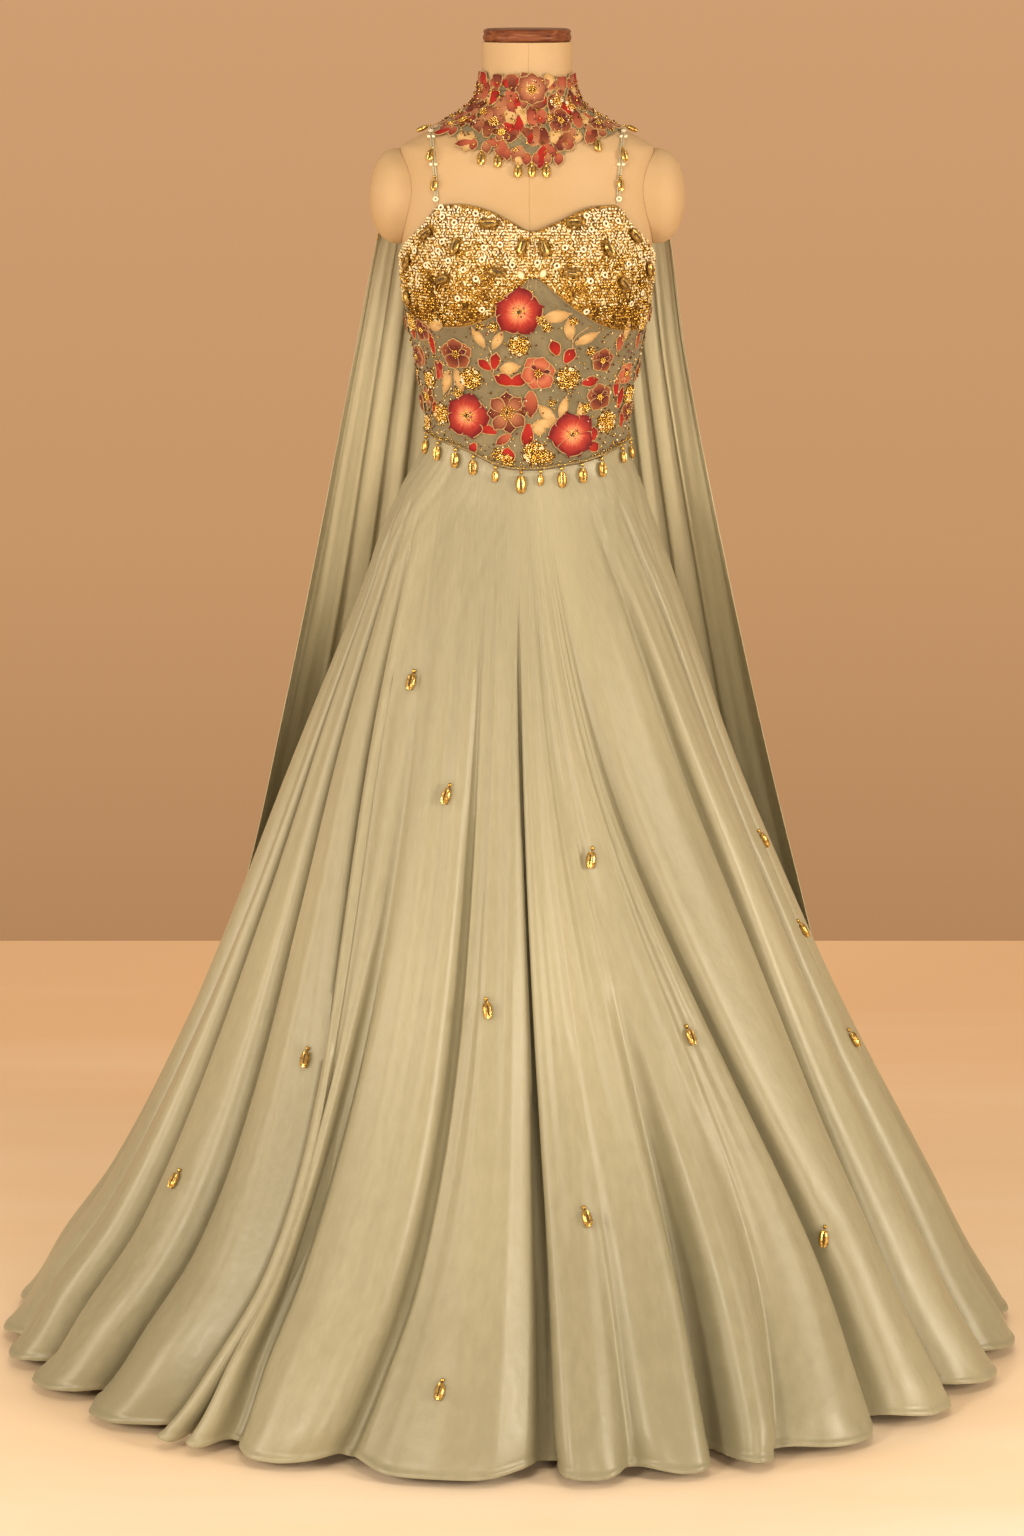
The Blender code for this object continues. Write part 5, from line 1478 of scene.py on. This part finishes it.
def sew_poppy_heart(kit, cloth, spot, radius):
    """A raised heart of beads with ten short rays of tiny ones."""
    for n in range(26):
        batch = kit.garnet if n % 3 == 1 and n > 8 else kit.gold
        reach = radius * 0.30 * math.sqrt((n + 1) / 26)
        round_bead(batch, cloth, spot, reach, n * GOLDEN_TURN, chance.uniform(0.0011, 0.0016), -1.3)
    for n in range(10):
        a = TENTH * n + chance.uniform(-0.2, 0.2)
        for m in range(3):
            round_bead(kit.gold, cloth, spot, radius * (0.34 + 0.055 * m), a, 0.00055, -4.0)


def sew_spiral(kit, cloth, spot, radius, count, size):
    """Gold beads that fill a flower's middle."""
    for n in range(count):
        reach = radius * math.sqrt((n + 1) / count)
        round_bead(kit.gold, cloth, spot, reach, n * GOLDEN_TURN, size, -1.7)


def heap(kit, cloth, azimuth, z, radius, count, kind="gold", lift=0.0):
    """A dome of beads with a ring or two at its rim."""
    spot = cloth.spot(azimuth, z)
    spot = (spot[0] + spot[3] * lift, *spot[1:])
    size = radius * 0.92 / math.sqrt(count)
    cluster(kit.garnet if kind == "garnet" else kit.gold, cloth, spot, radius * 0.86, size, count)
    for _ in range(count // 5):
        a, reach = chance.uniform(0.0, 2.0 * math.pi), radius * chance.uniform(0.3, 0.9)
        round_bead(kit.light, cloth, spot, reach, a, size * 0.8, -0.9)
    loop = [cloth.lay(spot, radius * math.cos(a), radius * math.sin(a), 0.0005) for a in round_turns(22)]
    kit.cord.tube(loop, 0.0005, 4, True)
    for a in round_turns(max(count // 7, 3)):
        round_bead(kit.dark, cloth, spot, radius * 0.97, a, size * 0.9, -0.2)
    if count > 30:
        for a in (chance.uniform(0.0, 6.28) for _ in range(3)):
            ring(kit, cloth, spot, radius * 0.75 * math.cos(a), radius * 0.75 * math.sin(a), 0.0015, 0.0022)


def ring(kit, cloth, spot, a, b, radius, lift):
    """A cream ring with a hole, sewn flat."""
    _, right, up, out = spot
    put(kit.pale, ring_shape(radius, radius * 0.42), cloth.lay(spot, a, b, lift + radius * 0.3),
        Matrix((right, up, out)).transposed())


def hung_shell(kit, cloth, top, out, length, width, bead_radius):
    """A bead with a cowrie under it, hung down a cloth from a point."""
    down = Vector((0.0, 0.0, -1.0))
    down = (down - out * down.dot(out)).normalized()
    side = (-down).cross(out).normalized()
    basis = Matrix((side, -down, out)).transposed()
    reach = bead_radius * 2.0 + length / 2

    def clear(point, need):
        found, normal, _, _ = cloth.tree.find_nearest(point)
        gap = (point - found).dot(normal)
        return point + out * max(need - gap, 0.0)

    bead_at = clear(top + down * bead_radius, bead_radius * 0.9)
    shell_at = clear(top + down * reach, width * 0.30)
    put(kit.gold, FINE_BALL, bead_at, basis, (bead_radius * 0.95,) * 3)
    put(kit.shells, cowrie_shape(length, width), shell_at, basis)
    loop = [bead_at + (side * math.cos(a) + out * math.sin(a)) * bead_radius * 0.6 + down * bead_radius
            for a in round_turns(8)]
    kit.gold.tube(loop, 0.0004, 4, True)


def centre_of(node):
    """The middle of a node's box, and its top."""
    low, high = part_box(node)
    return Vector([(a + b) / 2 for a, b in zip(low, high)]), high[2]


def sew_bodice():
    """The flowers, leaves and beads of the front panel and the sides."""
    kit = Kit()
    cloth = Cloth("front_panel", "side_panel_left", "side_panel_right", "cup_left", "cup_right")
    for azimuth, z, angle, length, width, kind in BODICE_PETALS:
        larger = PETAL_GROWTH[kind]
        single(kit, cloth, azimuth, z, angle, length * larger, width * larger, kind)
    for row in BODICE_FLOWERS:
        flower(kit, cloth, *row)
    for azimuth, z, radius, count in BODICE_HEAPS:
        heap(kit, cloth, azimuth, z, radius * 1.22, int(count * 1.3))
    for azimuth, z, end, end_z, bow in BODICE_STEMS:
        path = []
        for t in spread(0.0, 1.0, 9):
            spot = cloth.spot(lerp(azimuth, end, t), lerp(z, end_z, t))
            path.append(cloth.lay(spot, bow * math.sin(math.pi * t), 0.0, 0.0006))
        kit.cord.tube(path, 0.0007, 5)
    loose = (kit.gold, kit.dark, kit.garnet, kit.gold, kit.light)
    for side in (-1, 1):
        for n in range(420):
            azimuth = side * chance.uniform(50.0, 104.0)
            low, high = bodice_hem(azimuth) + 0.006, bodice_top(azimuth) - 0.006
            if abs(azimuth) < 79.0:
                high = cup_foot(azimuth) - 0.004
            spot = cloth.spot(azimuth, chance.uniform(low, high))
            bead(loose[n % 5], cloth, spot, 0.0, 0.0, chance.uniform(0.0009, 0.0016), 0.3)
    for n in range(520):
        azimuth = chance.uniform(-54.0, 54.0)
        spot = cloth.spot(azimuth, chance.uniform(bodice_hem(azimuth) + 0.006, cup_foot(azimuth) - 0.006))
        bead(loose[n % 5], cloth, spot, 0.0, 0.0, chance.uniform(0.0007, 0.0015), 0.3)
    for azimuth, z in SIDE_FLOWERS:
        flower(kit, cloth, azimuth, z, 0.0155, 5, azimuth * 3.0, "salmon")
    kit.finish("bodice", "petals")


def sew_hem():
    """The piping round the foot of the bodice with the shells that hang from it."""
    kit = Kit()
    offset = BODICE_OUTER + 0.0026
    loop = [form_layer(a, bodice_hem(wrapped(a)) + 0.0023, offset) for a in spread(-180.0, 178.0, 180)]
    piping = Batch()
    piping.tube(loop, 0.0014, 8, True)
    piping.make("hem_piping", [PIPING], "gold")
    cloth = Cloth("skirt_gore_front", "skirt_gore_side_left", "skirt_gore_side_right", "front_panel")
    for azimuth, length in zip(HEM_SHELLS, HEM_SHELL_LENGTHS):
        top = form_layer(azimuth, bodice_hem(azimuth) + 0.0005, offset + 0.0012)
        out = form_normal(azimuth, top.z)
        out = Vector((out.x, out.y, 0.12)).normalized()
        hung_shell(kit, cloth, top, out, length, length * 0.52, 0.0026)
        for n in (-1, 1):
            beside = form_layer(azimuth + n * 2.2, bodice_hem(azimuth) + 0.0026, offset + 0.0013)
            put(kit.gold, BALL, beside, Matrix.Identity(3), (0.0015,) * 3)
    for azimuth in spread(-100.0, 100.0, 120):
        lift = chance.uniform(0.0042, 0.0062)
        if abs(azimuth) > 46.0 or chance.random() < 0.35:
            spot = form_layer(azimuth, bodice_hem(azimuth) + lift, BODICE_OUTER + 0.0009)
            put(kit.gold, BALL, spot, Matrix.Identity(3), (chance.uniform(0.0010, 0.0015),) * 3)
    kit.finish("hem", "gold")
    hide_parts("bodice_hem_trim")


# The cups' loose beads: their rows and columns, and the height of the lowest row
BEAD_ROWS = 47
BEAD_COLUMNS = 108
BEAD_PITCH = 0.0036
BEAD_TURN = 1.45
BEAD_FOOT = 1.322
# The shells on the cups: their size, and how high their middle lies on the cloth
CUP_SHELL_LENGTH = 0.0215
CUP_SHELL_WIDTH = 0.0118
CUP_SHELL_RISE = 0.004032


def sew_cup_piping(cloth):
    """The cord along the cups' edges and down their darts."""
    piping = Batch()
    for ends in ((-77.5, 0.8), (2.2, 77.5)):
        turns = spread(*ends, 60)
        piping.tube([form_layer(a, bodice_top(a) - 0.0004, CUP_OUTER + 0.0002) for a in turns], 0.0009, 6)
        piping.tube([form_layer(a, cup_foot(a) + 0.0010, CUP_OUTER + 0.0002) for a in turns], 0.0009, 6)
    for azimuth, z, end, end_z in CUP_DARTS:
        spots = [cloth.spot(lerp(azimuth, end, t), lerp(z, end_z, t)) for t in spread(0.0, 1.0, 12)]
        piping.tube([cloth.lay(spot, 0.0, 0.0, 0.0004) for spot in spots], 0.0007, 5)
    piping.make("cup_piping", [CORD_DARK], "beading")


def sew_cups():
    """The beads, rings, cowries and cream petals that cover the cups, and their piping and darts."""
    kit = Kit()
    cloth = Cloth("cup_left", "cup_right")
    # Which beads are sewn from a shade up: cream at the top, bronze at the bottom. The shade is partly the
    # beads' own mix and partly painted light, lighter above and darker below
    by_shade = ((1.05, kit.pale), (-0.05, kit.light), (-1.1, kit.gold), (-math.inf, kit.dark))
    # Places that are covered already, each with the room it needs
    taken = []
    for azimuth, z, turn in CUP_COWRIES:
        spot = cloth.spot(azimuth, z)
        where = cloth.lay(spot, 0.0, 0.0, CUP_SHELL_RISE)
        put(kit.shells, cowrie_shape(CUP_SHELL_LENGTH, CUP_SHELL_WIDTH), where, turn_in(spot, turn))
        for reach in (-0.0055, 0.0055):
            a = math.radians(turn)
            taken.append((cloth.lay(spot, -reach * math.sin(a), reach * math.cos(a), 0.0), 0.0076))
    for azimuth, z in CUP_RINGS:
        spot = cloth.spot(azimuth, z)
        ring(kit, cloth, spot, 0.0, 0.0, 0.0029, 0.0012)
        taken.append((spot[0], 0.0046))
    for azimuth, z, angle in CUP_PETALS:
        spot = cloth.spot(azimuth, z)
        petal(kit.petals["cream"], kit.cord, cloth, spot, angle, 0.0, 0.0125, 0.0085, STYLES["cream"])
        a = math.radians(angle)
        taken.append((cloth.lay(spot, 0.006 * math.cos(a), 0.006 * math.sin(a), 0.0), 0.0050))
    sew_cup_piping(cloth)
    for r in range(BEAD_ROWS):
        z = BEAD_FOOT + r * BEAD_PITCH
        for n in range(BEAD_COLUMNS):
            azimuth = -SIDE_SEAM + BEAD_TURN * n + 0.72 * (r % 2) + chance.uniform(-0.40, 0.40)
            high = z + chance.uniform(-0.0007, 0.0007)
            inside = cup_foot(azimuth) + 0.0022 < high < bodice_top(azimuth) - 0.0018
            if not inside or abs(azimuth - FRONT_SEAM) < 0.4:
                continue
            spot = cloth.spot(azimuth, high)
            if any((spot[0] - middle).length < room for middle, room in taken):
                continue
            # The height term is painted light: paler beads higher up, darker ones lower down; the noise and
            # chance give the beads' own mix
            shade = noise.noise(Vector((azimuth * 0.11, high * 45.0, 2.0))) + 1.45 * (high - 1.392) / 0.08
            shade += chance.uniform(-0.8, 0.8)
            batch = next(shades for least, shades in by_shade if shade > least)
            size = chance.uniform(0.0011, 0.0021)
            if chance.random() < 0.45:
                long_bead = (size * 0.62, size * 1.9, size * 0.62)
                basis = turn_in(spot, chance.uniform(0.0, 180.0))
                put(batch, BALL, spot[0] + spot[3] * size * 0.6, basis, long_bead)
            else:
                bead(batch, cloth, spot, 0.0, 0.0, size, 0.15)
    kit.finish("cup", "beading", AGED_SHELL)


def sew_collar():
    """The collar's petals, beads and hanging shells."""
    kit = Kit()
    cloth = Cloth(tree=collar_surface())
    kinds = ("blush", "pink", "leaf", "blush", "salmon", "composite", "red")
    for part, tilt in ((0.16, 20.0), (0.38, -35.0), (0.60, 30.0), (0.82, -20.0)):
        for n, azimuth in enumerate(spread(-98.0, 98.0, 20)):
            azimuth += chance.uniform(-2.5, 2.5)
            z = lerp(collar_top(azimuth), collar_foot(azimuth), part)
            kind = kinds[(n * 3 + int(part * 10)) % 7]
            single(kit, cloth, azimuth, z, 90.0 + tilt + 180.0 * (n % 2) + chance.uniform(-30.0, 30.0),
                   chance.uniform(0.023, 0.031), chance.uniform(0.0150, 0.0200), kind)
    for row in COLLAR_PETALS:
        single(kit, cloth, *row)
    for azimuth in spread(-96.0, 96.0, 23):
        turned = chance.uniform(-25.0, 25.0)
        single(kit, cloth, azimuth, collar_foot(azimuth) + 0.010, 270.0 + turned, 0.0165, 0.0125,
               ("pink", "blush", "pink", "leaf")[int(azimuth + 96.0) % 4])
    for azimuth in spread(-94.0, 94.0, 17):
        if abs(azimuth - 5.4) > 12.0:
            turned = chance.uniform(-35.0, 35.0)
            single(kit, cloth, azimuth, collar_top(azimuth) - 0.010, 90.0 + turned, 0.0145, 0.0110,
                   ("blush", "red", "pink")[int(azimuth + 94.0) % 3])
    rim = cloth.spot(5.4, 1.6235)
    for k in range(8):
        petal(kit.petals["blush"], kit.cord, cloth, rim, 360.0 * k / 8, 0.005, 0.0150, 0.0155, RAISED)
    for row in COLLAR_FLOWERS:
        flower(kit, cloth, *row)
    for azimuth, z, radius, count, kind in COLLAR_HEAPS:
        heap(kit, cloth, azimuth, z, radius, count, kind, 0.0026)
    for n in range(420):
        azimuth = chance.uniform(-98.0, 98.0)
        spot = cloth.spot(azimuth, chance.uniform(collar_foot(azimuth) + 0.003, collar_top(azimuth) - 0.003))
        batch = (kit.garnet, kit.gold, kit.dark, kit.gold)[n % 4]
        bead(batch, cloth, spot, 0.0, 0.0, chance.uniform(0.0009, 0.0016), -1.2)
    chest = Cloth("canvas_torso")
    for azimuth in COLLAR_SHELLS:
        top = form_layer(azimuth, collar_foot(azimuth) - 0.0004, 0.0032)
        out = form_normal(azimuth, top.z - 0.012)
        hung_shell(kit, chest, top, out, 0.0180, 0.0105, 0.0018)
    kit.finish("collar", "embroidery")
    nodes = [f"collar_shell_{number}" for number in range(1, len(COLLAR_SHELLS) + 1)]
    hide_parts(*nodes)


def strap_path(tree, side):
    """Points on the form from the top of the cup over the shoulder to the back, with their normals."""
    path = []
    for turn in spread(-14.0, 158.0, 60) + spread(162.0, 240.0, 18):
        angle = math.radians(turn)
        aim = Vector((0.0, -math.cos(angle), math.sin(angle)))
        over = smoothstep(min(turn + 10.0, 190.0 - turn) / 75.0)
        x = side * lerp(STRAP_FRONT_X, STRAP_SHOULDER_X, over)
        hit, normal, _, _ = tree.ray_cast(Vector((x, 0.0, 1.500)), aim)
        path.append((hit, normal))
    return path


def sew_straps():
    """Straps of two laid cords with shells, rings and beads on them."""
    kit = Kit()
    chest = Cloth("canvas_torso")
    for label, side in (("left", -1), ("right", 1)):
        cords = Batch()
        kept = []
        for hit, normal in strap_path(chest.tree, side):
            edge = STRAP_FRONT_FOOT - 0.002
            if hit.y >= 0.0:
                edge = bodice_top(true_azimuth(hit)) + STRAP_BACK_RISE
            if hit.z > edge:
                kept.append((hit, normal))
        for beside in (-0.0014, 0.0014):
            path = [hit + normal * 0.0021 + Vector((beside, 0.0, 0.0)) for hit, normal in kept]
            cords.tube(path, 0.0010, 6)
        made = cords.make(f"strap_cords_{label}", [STRAP_CORD], "satin")
        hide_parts(f"strap_{label}")
        front = [(hit, normal) for hit, normal in kept if hit.y < 0.0]
        for height, what in STRAP_TRIM:
            hit, normal = min(front, key=lambda spot: abs(spot[0].z - height))
            spot = (hit, Vector((1.0, 0.0, 0.0)), normal.cross(Vector((1.0, 0.0, 0.0))), normal)
            at = hit + normal * 0.0038
            if what == "shell":
                hung_shell(kit, chest, at + Vector((0.0, 0.0, 0.002)), normal, 0.0175, 0.0095, 0.0018)
            elif what == "ring":
                put(kit.pale, ring_shape(0.0026, 0.0011), at, turn_in(spot, 0.0))
            else:
                for aside in (-0.0030, 0.0030):
                    where = at + Vector((aside, 0.0, 0.0))
                    put(kit.pale, FINE_BALL, where, turn_in(spot, 0.0), (0.0022,) * 3)
    kit.finish("strap", "gold")
    nodes = [f"strap_shell_{label}_{n}" for label in ("left", "right") for n in (1, 2)]
    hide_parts(*nodes)


def sew_skirt():
    """The shells scattered over the skirt, and the beads at the cape's shoulders."""
    kit = Kit()
    gores = ("front", "side_left", "side_right", "back_left", "back_right")
    cloth = Cloth(*[f"skirt_gore_{label}" for label in gores])
    count = len(SKIRT_SHELLS)
    for number in range(1, count + 1):
        middle, top = centre_of(f"skirt_shell_{number:02d}")
        found, normal, _, _ = cloth.tree.find_nearest(middle)
        out = normal if normal.dot(Vector((found.x, found.y, 0.0))) > 0.0 else -normal
        start = cloth.tree.find_nearest(Vector((middle.x, middle.y, top)))[0] + out * 0.0016
        hung_shell(kit, cloth, start, out, 0.0245, 0.0125, 0.0027)
    capes = Cloth("cape_half_left", "cape_half_right")
    for side in (-1, 1):
        for n in range(26):
            z = lerp(1.478, 1.425, (n + chance.random()) / 26)
            place = chance.uniform(0.01, 0.09)
            point = cape_point(side, place, z)
            found, normal, _, _ = capes.tree.find_nearest(point + Vector((0.0, -0.01, 0.0)))
            size = chance.uniform(0.0009, 0.0016)
            put(kit.gold, BALL, found + normal * 0.0008, Matrix.Identity(3), (size,) * 3)
    kit.finish("skirt", "gold")
    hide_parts(*[f"skirt_shell_{n:02d}" for n in range(1, count + 1)])


# The studio

# The sky from below to above: where each colour is, and the colour
SKY = (
    (0.385, (0.570, 0.294, 0.131)),
    (0.430, (0.705, 0.380, 0.177)),
    (0.495, (0.780, 0.432, 0.213)),
    (0.580, (0.620, 0.430, 0.270)),
    (0.800, (0.520, 0.410, 0.290)),
)
SKY_STRENGTH = 0.8
# The lamps: name, place, width, power, colour. They all face the gown's middle
LAMPS = (
    ("key", (-2.7, -4.6, 2.4), 1.0, 105.0, (1.0, 0.89, 0.70)),
    ("front", (0.9, -5.4, 1.5), 1.2, 74.0, (1.0, 0.88, 0.69)),
    ("left", (-3.8, -1.8, 1.5), 1.5, 70.0, (1.0, 0.87, 0.68)),
    ("right", (3.8, -2.6, 1.7), 1.5, 130.0, (1.0, 0.88, 0.68)),
    ("top", (0.2, -2.4, 4.2), 1.3, 34.0, (1.0, 0.89, 0.70)),
    ("back", (0.5, 4.2, 2.8), 2.6, 50.0, (1.0, 0.88, 0.70)),
)
LAMP_AIM = 0.85


def build_studio():
    """A plain pale floor, soft lamps and the camera."""
    mesh = bpy.data.meshes.new("floor")
    corners = [(-FLOOR_SIDE, -FLOOR_FRONT, 0.0), (FLOOR_SIDE, -FLOOR_FRONT, 0.0),
               (FLOOR_SIDE, FLOOR_BACK, 0.0), (-FLOOR_SIDE, FLOOR_BACK, 0.0)]
    mesh.from_pydata(corners, [], [(0, 1, 2, 3)])
    mesh.materials.append(floor_material())
    floor = bpy.data.objects.new("floor", mesh)
    bpy.context.scene.collection.objects.link(floor)

    world = bpy.data.worlds.new("studio")
    world.use_nodes = True
    tree = world.node_tree
    backdrop = tree.nodes["Background"]
    height = split(tree, coordinates(tree, "Generated"))["Z"]
    rise = math_of(tree, "ADD", math_of(tree, "MULTIPLY", height, 0.5), 0.5)
    tree.links.new(ramp(tree, rise, SKY), backdrop.inputs["Color"])
    backdrop.inputs["Strength"].default_value = SKY_STRENGTH
    bpy.context.scene.world = world

    for name, place, size, power, colour in LAMPS:
        data = bpy.data.lights.new(name, "AREA")
        data.shape = "DISK"
        data.size = size
        data.energy = power
        data.color = colour
        lamp = bpy.data.objects.new(name, data)
        lamp.location = place
        lamp.visible_glossy = name != "back"
        aim = Vector((0.0, 0.0, LAMP_AIM)) - Vector(place)
        lamp.rotation_euler = aim.to_track_quat("-Z", "Y").to_euler()
        bpy.context.scene.collection.objects.link(lamp)

    data = bpy.data.cameras.new("camera")
    data.lens = CAMERA_LENS
    data.sensor_width = 36.0
    camera = bpy.data.objects.new("camera", data)
    camera.location = CAMERA_PLACE
    camera.rotation_euler = (math.radians(90.0 - CAMERA_PITCH), 0.0, 0.0)
    bpy.context.scene.collection.objects.link(camera)
    bpy.context.scene.camera = camera
    bpy.context.scene.view_settings.view_transform = "Standard"


build_studio()
build_form()
torso_tree = surface_tree("canvas_torso")
build_arm_cap("left", -1, torso_tree)
build_arm_cap("right", 1, torso_tree)
build_neck_cap()
build_bodice()
build_collar()
build_skirt()
build_cape()
sew_bodice()
sew_cups()
sew_collar()
sew_straps()
sew_hem()
sew_skirt()
for number in range(1, 7):
    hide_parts(f"bodice_flower_{number}")
for node in ("stand_pole", "stand_base"):
    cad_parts[node].data.materials.clear()
    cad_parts[node].data.materials.append(STEEL)
